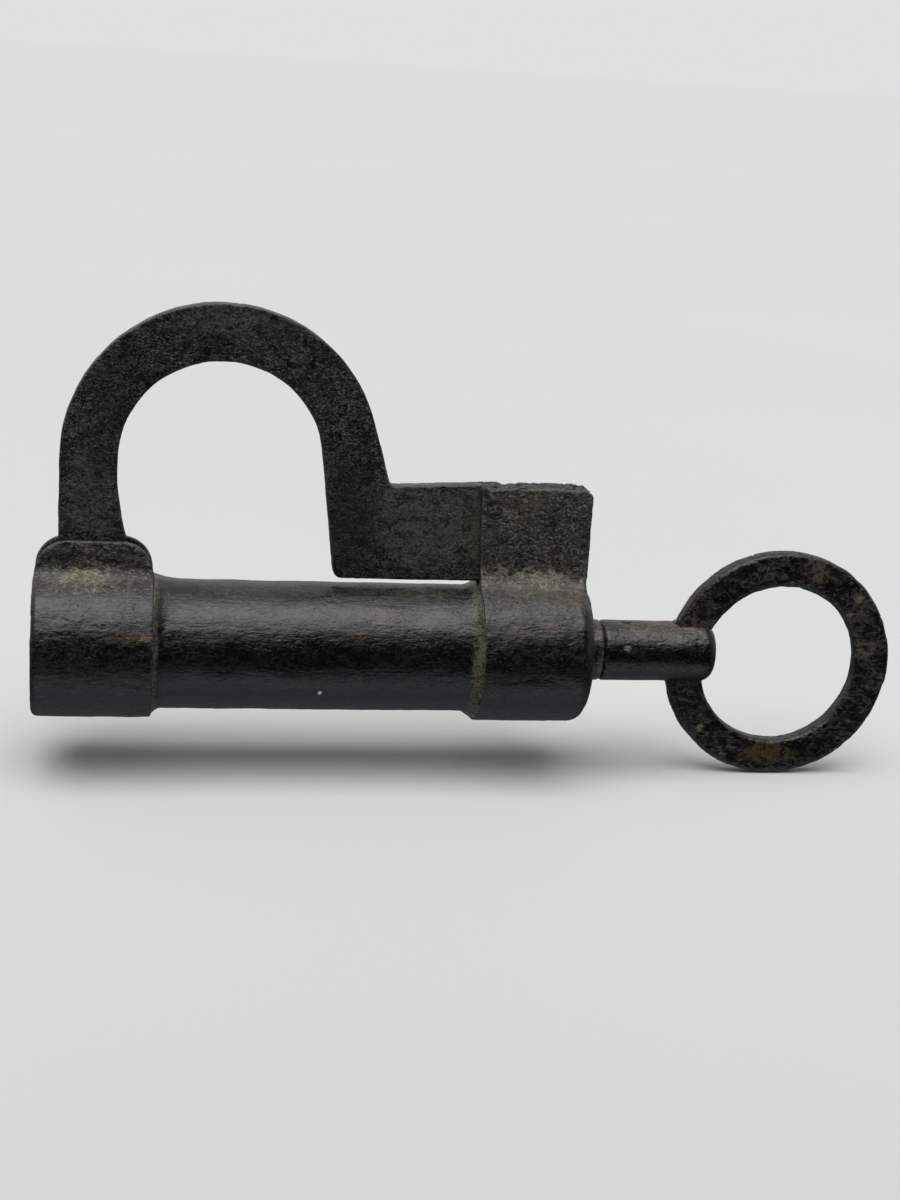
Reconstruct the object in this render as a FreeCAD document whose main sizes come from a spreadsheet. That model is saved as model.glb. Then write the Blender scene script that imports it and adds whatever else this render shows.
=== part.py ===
import FreeCAD, Part
import math
import os

import Sketcher
from FreeCAD import Rotation, Vector

# A screw-key barrel padlock in wrought iron, closed, with its key screwed right in.
# Frame: millimetres, +Z up, origin at the centre of the shackle's bow, +X along the barrel
# towards the key, +Y through the bow.

SIZES = {
    # shackle: a flat bar bent into a bow, with a tail that lies in the keeper
    "bow_inner_radius": 22.1,
    "bow_width": 12.6,
    "bar_thickness": 4.1,
    "inner_splay": 7.2,
    "outer_splay": 16.6,
    "leg_drop": 25.4,
    "leg_flare": 2.3,
    "leg_flare_start": 2.0,
    "tail_depth": 22.45,
    "tail_root_step": 0.9,
    "heel_round": 2.2,
    "foot_radius": 5.0,
    "foot_gap": 0.3,
    "pivot_inset": 11.6,
    "pivot_pin_radius": 2.2,
    "pivot_running_gap": 0.08,
    # barrel
    "hinge_end_overhang": 5.3,
    "key_end_reach": 83.8,
    "barrel_radius": 14.5,
    "barrel_wall": 2.0,
    "tail_gap": 1.4,
    "plug_thickness": 3.0,
    "spring_pilot_length": 4.0,
    "key_end_round": 3.6,
    "hinge_end_round": 1.4,
    # bands: straps wrapped round the barrel, whose ends stand up as ears and cheeks
    "band_thickness": 2.05,
    "band_fit_gap": 0.05,
    "cheek_thickness": 1.75,
    "cheek_gap": 0.1,
    "ear_bend_radius": 3.0,
    "cheek_bend_radius": 5.0,
    "hinge_band_width": 26.1,
    "ear_rise": 9.3,
    "ear_inset": 0.3,
    "ear_outer_round": 7.6,
    "ear_inner_round": 7.2,
    "keeper_band_width": 25.5,
    "keeper_lean": 0.9,
    "cheek_step": 0.1,
    "cheek_inset": 0.75,
    "cheek_chamfer": 1.5,
    "shoulder_height": 8.0,
    "web_thickness": 3.0,
    "web_inset": 0.6,
    "web_drop": 0.4,
    "tail_end_gap": 0.4,
    "hinge_braze_width": 1.6,
    "hinge_braze_height": 1.3,
    "keeper_braze_width": 2.3,
    "keeper_braze_height": 1.8,
    "band_pin_radius": 1.2,
    "band_pin_reach": 5.0,
    "fixed_gap": 0.02,
    "cutter_margin": 1.0,
    # bolt: a sprung piston with a nose pin that enters the notch in the shackle's lug
    "bolt_travel": 6.0,
    "bolt_engagement": 4.0,
    "piston_thickness": 3.0,
    "piston_gap": 0.15,
    "stop_gap": 0.2,
    "guide_thickness": 2.5,
    "guide_to_nose": 1.3,
    "guide_gap": 0.2,
    "nose_tip_chamfer": 0.6,
    "nose_wall_gap": 0.9,
    "stud_head_radius": 3.0,
    "stud_shank_radius": 1.5,
    "stud_proud": 1.0,
    "spring_radius": 8.5,
    "spring_wire": 1.6,
    "spring_pilot_gap": 0.7,
    "lug_inset": 4.1,
    "lug_length": 8.0,
    "notch_depth": 4.5,
    "notch_gap": 0.3,
    "hook_depth": 2.0,
    "lug_key_gap": 0.6,
    "lug_front_gap": 1.0,
    "lug_back_gap": 1.5,
    "lug_side_gap": 0.45,
    # key
    "stem_radius": 7.0,
    "stem_length": 26.8,
    "stem_chamfer": 0.5,
    "stem_dome": 3.0,
    "stem_proud": 2.3,
    "bush_wall": 2.1,
    "bush_proud": 4.0,
    "bush_length": 9.25,
    "thread_gap": 0.1,
    "thread_depth": 0.9,
    "thread_length": 16.5,
    "shoulder_gap": 0.1,
    "tip_gap": 0.1,
    "shank_seat": 12.0,
    "shank_pin_radius": 1.0,
    "shank_pin_inset": 6.0,
    "ring_outer_radius": 26.9,
    "ring_inner_radius": 18.5,
    "ring_thickness": 4.7,
    "ring_round": 1.3,
    "ring_drop": 2.5,
    "ring_braze_radius": 1.6,
}

# What follows from the driving sizes, in the order in which it is worked out.
PLACES = {
    "bow_outer_radius": "Sizes.bow_inner_radius + Sizes.bow_width",
    "hinge_end": "-Places.bow_outer_radius - Sizes.hinge_end_overhang",
    "barrel_top": "-Sizes.leg_drop - Sizes.tail_gap",
    "axis_z": "Places.barrel_top - Sizes.barrel_radius",
    "bore_radius": "Sizes.barrel_radius - Sizes.barrel_wall",
    "band_radius": "Sizes.barrel_radius + Sizes.band_thickness",
    "tail_top": "-Sizes.leg_drop + Sizes.tail_depth",
    "pivot_x": "Places.hinge_end + Sizes.pivot_inset",
    "pivot_z": "Places.barrel_top + Sizes.foot_radius + Sizes.foot_gap",
    "ear_top": "Places.barrel_top + Sizes.ear_rise",
    "hinge_band_end": "Places.hinge_end + Sizes.hinge_band_width",
    "keeper_start": "Sizes.key_end_reach - Sizes.keeper_band_width",
    "keeper_top": "Places.tail_top - Sizes.cheek_step",
    "cheek_inner": "Sizes.bar_thickness / 2 + Sizes.cheek_gap",
    "cheek_outer": "Places.cheek_inner + Sizes.cheek_thickness",
    "cheek_end": "Sizes.key_end_reach - Sizes.cheek_inset",
    "band_bore": "Sizes.barrel_radius + Sizes.band_fit_gap",
    "band_gap_z": "sqrt(Places.band_bore^2 - Places.cheek_inner^2)",
    "web_end": "Places.cheek_end - Sizes.web_inset",
    "tail_end": "Places.web_end - Sizes.web_thickness - Sizes.tail_end_gap",
    # the two legs' inner and outer edges leave the bow along its tangents
    "outer_turn_x": "Places.bow_outer_radius * cos(Sizes.outer_splay)",
    "outer_turn_z": "Places.bow_outer_radius * sin(Sizes.outer_splay)",
    "root_z": "Places.tail_top - Sizes.tail_root_step",
    "root_x": "Places.outer_turn_x + (Places.outer_turn_z - Places.root_z) * tan(Sizes.outer_splay)",
    "inner_turn_x": "Sizes.bow_inner_radius * cos(Sizes.inner_splay)",
    "inner_turn_z": "Sizes.bow_inner_radius * sin(Sizes.inner_splay)",
    "heel_z": "-Sizes.leg_drop + Sizes.heel_round",
    "heel_x": "Places.inner_turn_x + (Places.inner_turn_z - Places.heel_z) * tan(Sizes.inner_splay)",
    "flare_fall": "-Sizes.leg_flare_start - Places.ear_top",
    "flare_radius": "(Places.flare_fall^2 + Sizes.leg_flare^2) / (2 * Sizes.leg_flare)",
    # key, lug and nose pin, from the key's shank outwards
    "thread_crest": "Sizes.stem_radius - Sizes.bush_wall - Sizes.thread_gap",
    "thread_core": "Places.thread_crest - Sizes.thread_depth",
    "lug_bottom": "Places.thread_crest + Sizes.lug_key_gap",
    "notch_low": "Places.lug_bottom + Sizes.hook_depth",
    "nose_radius": "(Places.bore_radius - Sizes.nose_wall_gap - Places.notch_low) / 2 - Sizes.notch_gap / 2",
    "nose_rise": "Places.notch_low + Sizes.notch_gap + Places.nose_radius",
    "notch_high": "Places.nose_rise + Places.nose_radius + Sizes.notch_gap",
    "lug_back": "Places.tail_end - Sizes.lug_inset",
    "lug_front": "Places.lug_back - Sizes.lug_length",
    "notch_end": "Places.lug_front + Sizes.notch_depth",
    "nose_tip": "Places.lug_front + Sizes.bolt_engagement - Sizes.bolt_travel",
    "guide_end": "Places.nose_tip - Sizes.guide_to_nose",
    "guide_start": "Places.guide_end - Sizes.guide_thickness",
    "piston_end": "Places.guide_start - Sizes.stop_gap - Sizes.bolt_travel",
    "piston_start": "Places.piston_end - Sizes.piston_thickness",
    "plug_end": "Places.hinge_end + Sizes.plug_thickness",
    "pilot_radius": "Sizes.spring_radius - Sizes.spring_wire / 2 - Sizes.spring_pilot_gap",
    "key_tip": "Places.piston_end + Sizes.stud_proud + Sizes.tip_gap",
    "end_plate_start": "Sizes.key_end_reach - Sizes.plug_thickness",
    "bush_end": "Sizes.key_end_reach + Sizes.bush_proud",
    "bush_start": "Places.bush_end - Sizes.bush_length",
    "stem_start": "Places.bush_end + Sizes.shoulder_gap",
    "stem_end": "Places.stem_start + Sizes.stem_length",
    "thread_end": "Places.bush_end - Sizes.stem_chamfer / 2",
    "thread_start": "Places.thread_end - Sizes.thread_length",
    "ring_x": "Places.stem_end + Sizes.ring_inner_radius - Sizes.stem_proud",
    "ring_z": "Places.axis_z - Sizes.ring_drop",
}

# The bend from each upright down to its collar: its centre, then where it leaves the collar.
for bend in ("ear_bend", "cheek_bend"):
    PLACES[f"{bend}_y"] = f"Places.cheek_outer + Sizes.{bend}_radius"
    PLACES[f"{bend}_z"] = f"sqrt((Places.band_radius + Sizes.{bend}_radius)^2 - Places.{bend}_y^2)"
    PLACES[f"{bend}_share"] = f"Places.band_radius / (Places.band_radius + Sizes.{bend}_radius)"
    PLACES[f"{bend}_foot_y"] = f"Places.{bend}_y * Places.{bend}_share"
    PLACES[f"{bend}_foot_z"] = f"Places.{bend}_z * Places.{bend}_share"

doc = FreeCAD.newDocument("BarrelPadlock")
sheet = doc.addObject("Spreadsheet::Sheet", "Sizes")
for row, (alias, value) in enumerate(SIZES.items(), start=1):
    sheet.set(f"A{row}", alias)
    sheet.set(f"B{row}", str(value))
    sheet.setAlias(f"B{row}", alias)
doc.recompute()

places = doc.addObject("App::VarSet", "Places")
for place, formula in PLACES.items():
    places.addProperty("App::PropertyFloat", place)
    places.setExpression(place, formula)
    doc.recompute()

ALONG_X = Rotation(Vector(0, 1, 0), 90)
ALONG_Y = Rotation(Vector(1, 0, 0), -90)
ALONG_Z = Rotation()
AXIS_Z = "Places.axis_z"


def number(formula):
    """The present value of a formula."""
    return float(places.evalExpression(formula))


def place_at(piece, x="0", y="0", z="0"):
    """Binds a piece's position to three formulas."""
    piece.setExpression("Placement.Base.x", x)
    piece.setExpression("Placement.Base.y", y)
    piece.setExpression("Placement.Base.z", z)


def arc_side(start, end, radius, turn, major):
    """A circular side from start to end that turns left or right; major is the long way round."""
    chord = end - start
    to_left = Vector(-chord.y, chord.x, 0).normalize()
    reach = math.sqrt(max(radius ** 2 - (chord.Length / 2) ** 2, 0.0))
    side = 1 if (turn == "left") != major else -1
    centre = (start + end) * 0.5 + to_left * reach * side
    first, last = (start, end) if turn == "left" else (end, start)
    angles = [math.atan2(point.y - centre.y, point.x - centre.x) for point in (first, last)]
    if angles[1] < angles[0]:
        angles[1] += 2 * math.pi
    return Part.ArcOfCircle(Part.Circle(centre, Vector(0, 0, 1), radius), *angles)


def draw_outline(body, plane, corners):
    """A closed outline on one of the body's origin planes.

    Each corner is (u, v) or (u, v, radius, turn) or (u, v, radius, turn, "major"), all formulas;
    a radius makes the side that leaves the corner an arc.
    """
    sketch = body.newObject("Sketcher::SketchObject", body.Name + "Outline")
    origin_plane = next(item for item in body.Origin.OriginFeatures if item.Role == plane)
    sketch.AttachmentSupport = [(origin_plane, "")]
    sketch.MapMode = "FlatFace"
    points = [Vector(number(corner[0]), number(corner[1]), 0) for corner in corners]
    ends = []
    for index, corner in enumerate(corners):
        start = points[index]
        end = points[(index + 1) % len(points)]
        if len(corner) == 2:
            sketch.addGeometry(Part.LineSegment(start, end))
            ends.append((1, 2))
        else:
            side = arc_side(start, end, number(corner[2]), corner[3], "major" in corner)
            sketch.addGeometry(side)
            ends.append((1, 2) if corner[3] == "left" else (2, 1))
    for index, corner in enumerate(corners):
        after = (index + 1) % len(corners)
        joint = Sketcher.Constraint("Coincident", index, ends[index][1], after, ends[after][0])
        sketch.addConstraint(joint)
        for kind, formula, value in (
            ("DistanceX", corner[0], points[index].x),
            ("DistanceY", corner[1], points[index].y),
        ):
            datum = Sketcher.Constraint(kind, -1, 1, index, ends[index][0], value)
            sketch.setExpression(f"Constraints[{sketch.addConstraint(datum)}]", formula)
        if len(corner) > 2:
            datum = Sketcher.Constraint("Radius", index, number(corner[2]))
            sketch.setExpression(f"Constraints[{sketch.addConstraint(datum)}]", corner[2])
    return sketch


def plate(name, corners, thickness):
    """A flat plate with its outline in the XZ plane, as thick on each side of it."""
    body = doc.addObject("PartDesign::Body", name)
    pad = body.newObject("PartDesign::Pad", name + "Pad")
    pad.Profile = draw_outline(body, "XZ_Plane", corners)
    pad.SideType = "Symmetric"
    pad.setExpression("Length", thickness)
    return body


def bar(name, corners, start, length):
    """A bar of constant section along X, its section drawn about the barrel's axis."""
    body = doc.addObject("PartDesign::Body", name)
    pad = body.newObject("PartDesign::Pad", name + "Pad")
    pad.Profile = draw_outline(body, "YZ_Plane", corners)
    pad.setExpression("Length", length)
    place_at(body, x=start, z=AXIS_Z)
    return body


def turned(name, corners, z=AXIS_Z):
    """A piece turned about an axis along X: each corner is (x, radius)."""
    body = doc.addObject("PartDesign::Body", name)
    revolution = body.newObject("PartDesign::Revolution", name + "Turn")
    sketch = draw_outline(body, "XZ_Plane", corners)
    revolution.Profile = sketch
    revolution.ReferenceAxis = (sketch, ["H_Axis"])
    revolution.Angle = 360
    place_at(body, z=z)
    return body


def cylinder(name, radius, length, rotation, x="0", y="0", z="0"):
    piece = doc.addObject("Part::Cylinder", name)
    piece.setExpression("Radius", radius)
    piece.setExpression("Height", length)
    piece.Placement.Rotation = rotation
    place_at(piece, x, y, z)
    return piece


def box(name, x, y, z):
    """A box from three (low, high) pairs of formulas."""
    piece = doc.addObject("Part::Box", name)
    for side, (low, high) in zip(("Length", "Width", "Height"), (x, y, z)):
        piece.setExpression(side, f"({high}) - ({low})")
    place_at(piece, x[0], y[0], z[0])
    return piece


def joined(name, pieces):
    piece = doc.addObject("Part::MultiFuse", name)
    piece.Shapes = pieces
    return piece


def cut(name, base, *tools):
    piece = doc.addObject("Part::Cut", name)
    piece.Base = base
    piece.Tool = tools[0] if len(tools) == 1 else joined(name + "Tools", list(tools))
    return piece


def overlap(name, first, second):
    piece = doc.addObject("Part::Common", name)
    piece.Base = first
    piece.Tool = second
    return piece


def slab(name, x, half_width, low, high):
    """A box that straddles the XZ plane."""
    return box(name, x, (f"-({half_width})", half_width), (low, high))


parts = {}


# ---- pins that hold the barrel's inner plates, driven in from outside and filed flush ----

PIN_ANGLES = (0, 270)  # about the barrel's axis, from +Y towards +Z: at the back and underneath


def radial_cylinders(name, x, inner_radius, radius):
    """One short cylinder at each pin's angle, from inner_radius to just outside the band."""
    length = f"Places.band_radius + Sizes.cutter_margin - ({inner_radius})"
    pieces = []
    for angle in PIN_ANGLES:
        piece = cylinder(
            f"{name}{angle}",
            radius,
            length,
            Rotation(Vector(1, 0, 0), angle - 90),
            x,
            f"({inner_radius}) * cos({angle})",
            f"Places.axis_z + ({inner_radius}) * sin({angle})",
        )
        pieces.append(piece)
    return pieces


def band_pins(name, label, x):
    """The pins of one plate, and the drill that makes their holes."""
    inner = "Places.bore_radius - Sizes.band_pin_reach"
    blanks = joined(name + "Blanks", radial_cylinders(name + "Blank", x, inner, "Sizes.band_pin_radius"))
    limit = cylinder(
        name + "Limit",
        "Places.band_radius",
        "4 * Sizes.band_pin_radius",
        ALONG_X,
        f"{x} - 2 * Sizes.band_pin_radius",
        z=AXIS_Z,
    )
    parts[label] = overlap(name, blanks, limit)
    hole = "Sizes.band_pin_radius + Sizes.fixed_gap"
    return joined(name + "Drill", radial_cylinders(name + "Hole", x, inner + " - Sizes.fixed_gap", hole))


plug_drill = band_pins("PlugPins", "plug_pins", "Places.hinge_end + Sizes.plug_thickness / 2")
guide_drill = band_pins("GuidePins", "guide_plate_pins", "Places.guide_start + Sizes.guide_thickness / 2")


# ---- barrel ----

def end_round(name, end, sign, radius, bend):
    """The ring of metal that rounding a band's end takes off, clear of the bends of its uprights."""
    out = "Places.band_radius"
    back = f"{end} - ({sign}) * {radius}"
    past = f"{end} + ({sign}) * Sizes.cutter_margin"
    ring = turned(
        name + "Ring",
        [
            (back, out, radius, "right" if sign > 0 else "left"),
            (end, f"{out} - {radius}"),
            (past, f"{out} - {radius}"),
            (past, f"{out} + Sizes.cutter_margin"),
            (back, f"{out} + Sizes.cutter_margin"),
        ],
    )
    reach = f"2 * {radius}"
    keep = slab(
        name + "Keep",
        (f"{end} - {reach}", f"{end} + {reach}"),
        f"Places.{bend}_foot_y",
        AXIS_Z,
        "Places.axis_z + Places.band_radius + Sizes.cutter_margin",
    )
    return cut(name, ring, keep)


key_end_rounding = end_round(
    "KeyEndRounding", "Sizes.key_end_reach", 1, "Sizes.key_end_round", "cheek_bend"
)
hinge_end_rounding = end_round(
    "HingeEndRounding", "Places.hinge_end", -1, "Sizes.hinge_end_round", "ear_bend"
)

barrel_blank = cylinder(
    "BarrelBlank",
    "Sizes.barrel_radius",
    "Sizes.key_end_reach - Places.hinge_end",
    ALONG_X,
    "Places.hinge_end",
    z=AXIS_Z,
)
barrel_bore = cylinder(
    "BarrelBore",
    "Places.bore_radius",
    "Sizes.key_end_reach - Places.hinge_end + 2 * Sizes.cutter_margin",
    ALONG_X,
    "Places.hinge_end - Sizes.cutter_margin",
    z=AXIS_Z,
)
lug_slot = slab(
    "LugSlot",
    ("Places.lug_front - Sizes.lug_front_gap", "Places.lug_back + Sizes.lug_back_gap"),
    "Sizes.bar_thickness / 2 + Sizes.lug_side_gap",
    AXIS_Z,
    "Places.barrel_top + Sizes.cutter_margin",
)
parts["barrel_tube"] = cut(
    "BarrelTube", barrel_blank, barrel_bore, lug_slot, plug_drill, guide_drill, key_end_rounding
)


# ---- bands ----

def band_section(name, start, length, rise, bend):
    """A strap's section: a collar round the barrel with two upright cheeks and a gap between."""
    corners = [
        ("Places.cheek_outer", rise),
        ("Places.cheek_outer", f"Places.{bend}_z", f"Sizes.{bend}_radius", "left"),
        (f"Places.{bend}_foot_y", f"Places.{bend}_foot_z", "Places.band_radius", "right", "major"),
        (f"-Places.{bend}_foot_y", f"Places.{bend}_foot_z", f"Sizes.{bend}_radius", "left"),
        ("-Places.cheek_outer", f"Places.{bend}_z"),
        ("-Places.cheek_outer", rise),
        ("-Places.cheek_inner", rise),
        ("-Places.cheek_inner", "Places.band_gap_z", "Places.band_bore", "left", "major"),
        ("Places.cheek_inner", "Places.band_gap_z"),
        ("Places.cheek_inner", rise),
    ]
    return bar(name, corners, start, length)


band_width = "2 * Places.band_radius"
band_floor = "Places.axis_z - Places.band_radius - Sizes.cutter_margin"

hinge_section = band_section(
    "HingeSection",
    "Places.hinge_end",
    "Sizes.hinge_band_width",
    "Places.ear_top - Places.axis_z",
    "ear_bend",
)
ear_left = "Places.hinge_end + Sizes.ear_inset"
ear_sides = plate(
    "EarSides",
    [
        ("Places.hinge_end", band_floor),
        ("Places.hinge_band_end", band_floor),
        ("Places.hinge_band_end", "Places.ear_top - Sizes.ear_inner_round", "Sizes.ear_inner_round", "left"),
        ("Places.hinge_band_end - Sizes.ear_inner_round", "Places.ear_top"),
        (f"{ear_left} + Sizes.ear_outer_round", "Places.ear_top", "Sizes.ear_outer_round", "left"),
        (ear_left, "Places.ear_top - Sizes.ear_outer_round"),
        ("Places.hinge_end", "Places.axis_z + Places.ear_bend_foot_z"),
    ],
    band_width,
)
pivot_hole = cylinder(
    "PivotHole",
    "Sizes.pivot_pin_radius + Sizes.fixed_gap",
    band_width,
    ALONG_Y,
    "Places.pivot_x",
    "-Places.band_radius",
    "Places.pivot_z",
)
hinge_blank = overlap("HingeBlank", hinge_section, ear_sides)
parts["hinge_band"] = cut("HingeBand", hinge_blank, pivot_hole, plug_drill, hinge_end_rounding)

keeper_section = band_section(
    "KeeperSection",
    "Places.keeper_start - Sizes.keeper_lean",
    "Sizes.keeper_band_width + Sizes.keeper_lean",
    "Places.keeper_top - Places.axis_z",
    "cheek_bend",
)
cheek_foot = "Places.axis_z + Places.band_radius"
shoulder_radius = "(Sizes.shoulder_height^2 + Sizes.cheek_inset^2) / (4 * Sizes.cheek_inset)"
cheek_sides = plate(
    "CheekSides",
    [
        ("Places.keeper_start", band_floor),
        ("Sizes.key_end_reach", band_floor),
        ("Sizes.key_end_reach", f"{cheek_foot} - Sizes.shoulder_height", shoulder_radius, "left"),
        (
            "Sizes.key_end_reach - Sizes.cheek_inset / 2",
            f"{cheek_foot} - Sizes.shoulder_height / 2",
            shoulder_radius,
            "right",
        ),
        ("Places.cheek_end", cheek_foot),
        ("Places.cheek_end", "Places.keeper_top - Sizes.cheek_chamfer"),
        ("Places.cheek_end - Sizes.cheek_chamfer", "Places.keeper_top"),
        ("Places.keeper_start - Sizes.keeper_lean", "Places.keeper_top"),
        ("Places.keeper_start", cheek_foot),
    ],
    band_width,
)
keeper_blank = overlap("KeeperBlank", keeper_section, cheek_sides)
parts["keeper_band"] = cut("KeeperBand", keeper_blank, guide_drill, key_end_rounding)


def braze_bead(name, edge, width, height):
    """A three-cornered bead in the angle between a band's edge and the barrel."""
    bead = turned(
        name + "Bead",
        [
            (edge, "Places.band_bore"),
            (f"{edge} + ({width})", "Places.band_bore"),
            (edge, f"Sizes.barrel_radius + {height}"),
        ],
    )
    gap = slab(
        name + "Gap",
        (f"{edge} - abs({width}) - Sizes.cutter_margin", f"{edge} + abs({width}) + Sizes.cutter_margin"),
        "Places.cheek_outer",
        AXIS_Z,
        f"Places.barrel_top + {height} + Sizes.cutter_margin",
    )
    return cut(name, bead, gap)


parts["hinge_band_braze"] = braze_bead(
    "HingeBraze", "Places.hinge_band_end", "Sizes.hinge_braze_width", "Sizes.hinge_braze_height"
)
parts["keeper_band_braze"] = braze_bead(
    "KeeperBraze", "Places.keeper_start", "-Sizes.keeper_braze_width", "Sizes.keeper_braze_height"
)

parts["keeper_end_web"] = slab(
    "KeeperEndWeb",
    ("Places.web_end - Sizes.web_thickness", "Places.web_end"),
    "Places.cheek_inner",
    "Places.barrel_top",
    "Places.keeper_top - Sizes.web_drop",
)
parts["hinge_pin"] = cylinder(
    "HingePin",
    "Sizes.pivot_pin_radius",
    "2 * Places.cheek_outer",
    ALONG_Y,
    "Places.pivot_x",
    "-Places.cheek_outer",
    "Places.pivot_z",
)


# ---- plates inside the barrel ----

plate_radius = "Places.bore_radius - Sizes.fixed_gap"
plug_blank = turned(
    "PlugBlank",
    [
        ("Places.hinge_end", "0"),
        ("Places.hinge_end", plate_radius),
        ("Places.plug_end", plate_radius),
        ("Places.plug_end", "Places.pilot_radius"),
        ("Places.plug_end + Sizes.spring_pilot_length", "Places.pilot_radius"),
        ("Places.plug_end + Sizes.spring_pilot_length", "0"),
    ],
)
parts["hinge_end_plug"] = cut("HingeEndPlug", plug_blank, plug_drill)

bush_hole = cylinder(
    "BushHole",
    "Sizes.stem_radius + Sizes.fixed_gap",
    "Sizes.plug_thickness + 2 * Sizes.cutter_margin",
    ALONG_X,
    "Places.end_plate_start - Sizes.cutter_margin",
    z=AXIS_Z,
)
end_plate_blank = cylinder(
    "EndPlateBlank", plate_radius, "Sizes.plug_thickness", ALONG_X, "Places.end_plate_start", z=AXIS_Z
)
parts["key_end_plate"] = cut("KeyEndPlate", end_plate_blank, bush_hole, key_end_rounding)

parts["key_bush"] = turned(
    "KeyBush",
    [
        ("Places.bush_start", "Places.thread_crest + Sizes.thread_gap"),
        ("Places.bush_start", "Sizes.stem_radius"),
        ("Places.bush_end - Sizes.stem_chamfer", "Sizes.stem_radius"),
        ("Places.bush_end", "Sizes.stem_radius - Sizes.stem_chamfer"),
        ("Places.bush_end", "Places.thread_crest + Sizes.thread_gap"),
    ],
)

nose_z = "Places.axis_z + Places.nose_rise"
guide_blank = turned(
    "GuideBlank",
    [
        ("Places.guide_start", "Places.thread_core + 2 * Sizes.guide_gap"),
        ("Places.guide_start", plate_radius),
        ("Places.guide_end", plate_radius),
        ("Places.guide_end", "Places.thread_core + 2 * Sizes.guide_gap"),
    ],
)
nose_guide = cylinder(
    "NoseGuide",
    "Places.nose_radius + Sizes.guide_gap",
    "Sizes.guide_thickness + 2 * Sizes.cutter_margin",
    ALONG_X,
    "Places.guide_start - Sizes.cutter_margin",
    z=nose_z,
)
parts["bolt_guide_plate"] = cut("BoltGuidePlate", guide_blank, nose_guide, guide_drill)


# ---- bolt ----

nose_seat = cylinder(
    "NoseSeat",
    "Places.nose_radius + Sizes.fixed_gap",
    "Sizes.piston_thickness + 2 * Sizes.cutter_margin",
    ALONG_X,
    "Places.piston_start - Sizes.cutter_margin",
    z=nose_z,
)
piston_blank = turned(
    "PistonBlank",
    [
        ("Places.piston_start", "Sizes.stud_shank_radius + Sizes.fixed_gap"),
        ("Places.piston_start", "Places.bore_radius - Sizes.piston_gap"),
        ("Places.piston_end", "Places.bore_radius - Sizes.piston_gap"),
        ("Places.piston_end", "Sizes.stud_shank_radius + Sizes.fixed_gap"),
    ],
)
parts["bolt_piston"] = cut("BoltPiston", piston_blank, nose_seat)
parts["bolt_nose"] = turned(
    "BoltNose",
    [
        ("Places.piston_start", "0"),
        ("Places.piston_start", "Places.nose_radius"),
        ("Places.nose_tip - Sizes.nose_tip_chamfer", "Places.nose_radius"),
        ("Places.nose_tip", "Places.nose_radius - Sizes.nose_tip_chamfer"),
        ("Places.nose_tip", "0"),
    ],
    nose_z,
)
parts["bolt_thrust_stud"] = turned(
    "BoltThrustStud",
    [
        ("Places.piston_start", "0"),
        ("Places.piston_start", "Sizes.stud_shank_radius"),
        ("Places.piston_end", "Sizes.stud_shank_radius"),
        ("Places.piston_end", "Sizes.stud_head_radius"),
        ("Places.piston_end + Sizes.stud_proud", "Sizes.stud_head_radius"),
        ("Places.piston_end + Sizes.stud_proud", "0"),
    ],
)
parts["bolt_spring"] = turned(
    "BoltSpring",
    [
        ("Places.plug_end", "Sizes.spring_radius - Sizes.spring_wire / 2"),
        ("Places.plug_end", "Sizes.spring_radius + Sizes.spring_wire / 2"),
        ("Places.piston_start", "Sizes.spring_radius + Sizes.spring_wire / 2"),
        ("Places.piston_start", "Sizes.spring_radius - Sizes.spring_wire / 2"),
    ],
)


# ---- shackle ----

shackle_outline = [
    ("-Places.bow_outer_radius", "0", "Places.bow_outer_radius", "right"),
    ("Places.outer_turn_x", "Places.outer_turn_z"),
    ("Places.root_x", "Places.root_z"),
    ("Places.keeper_start - Sizes.keeper_lean", "Places.tail_top"),
    ("Places.tail_end", "Places.tail_top"),
    ("Places.tail_end", "-Sizes.leg_drop"),
    ("Places.lug_back", "-Sizes.leg_drop"),
    ("Places.lug_back", "Places.axis_z + Places.lug_bottom"),
    ("Places.lug_front", "Places.axis_z + Places.lug_bottom"),
    ("Places.lug_front", "Places.axis_z + Places.notch_low"),
    ("Places.notch_end", "Places.axis_z + Places.notch_low"),
    ("Places.notch_end", "Places.axis_z + Places.notch_high"),
    ("Places.lug_front", "Places.axis_z + Places.notch_high"),
    ("Places.lug_front", "-Sizes.leg_drop"),
    ("Places.heel_x + Sizes.heel_round", "-Sizes.leg_drop", "Sizes.heel_round", "right"),
    ("Places.heel_x", "Places.heel_z"),
    ("Places.inner_turn_x", "Places.inner_turn_z", "Sizes.bow_inner_radius", "left"),
    ("-Sizes.bow_inner_radius", "0"),
    ("-Sizes.bow_inner_radius", "-Sizes.leg_flare_start", "Places.flare_radius", "left"),
    ("-Sizes.bow_inner_radius + Sizes.leg_flare", "Places.ear_top"),
    ("Places.pivot_x + Sizes.foot_radius", "Places.pivot_z", "Sizes.foot_radius", "right"),
    ("Places.pivot_x", "Places.pivot_z - Sizes.foot_radius", "Sizes.foot_radius", "right"),
    ("Places.pivot_x - Sizes.foot_radius", "Places.pivot_z"),
    ("-Places.bow_outer_radius", "Places.ear_top"),
]
shackle_blank = plate("ShackleBlank", shackle_outline, "Sizes.bar_thickness")
foot_hole = cylinder(
    "FootHole",
    "Sizes.pivot_pin_radius + Sizes.pivot_running_gap",
    "2 * Sizes.bar_thickness",
    ALONG_Y,
    "Places.pivot_x",
    "-Sizes.bar_thickness",
    "Places.pivot_z",
)
parts["shackle"] = cut("Shackle", shackle_blank, foot_hole)


# ---- key ----

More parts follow.
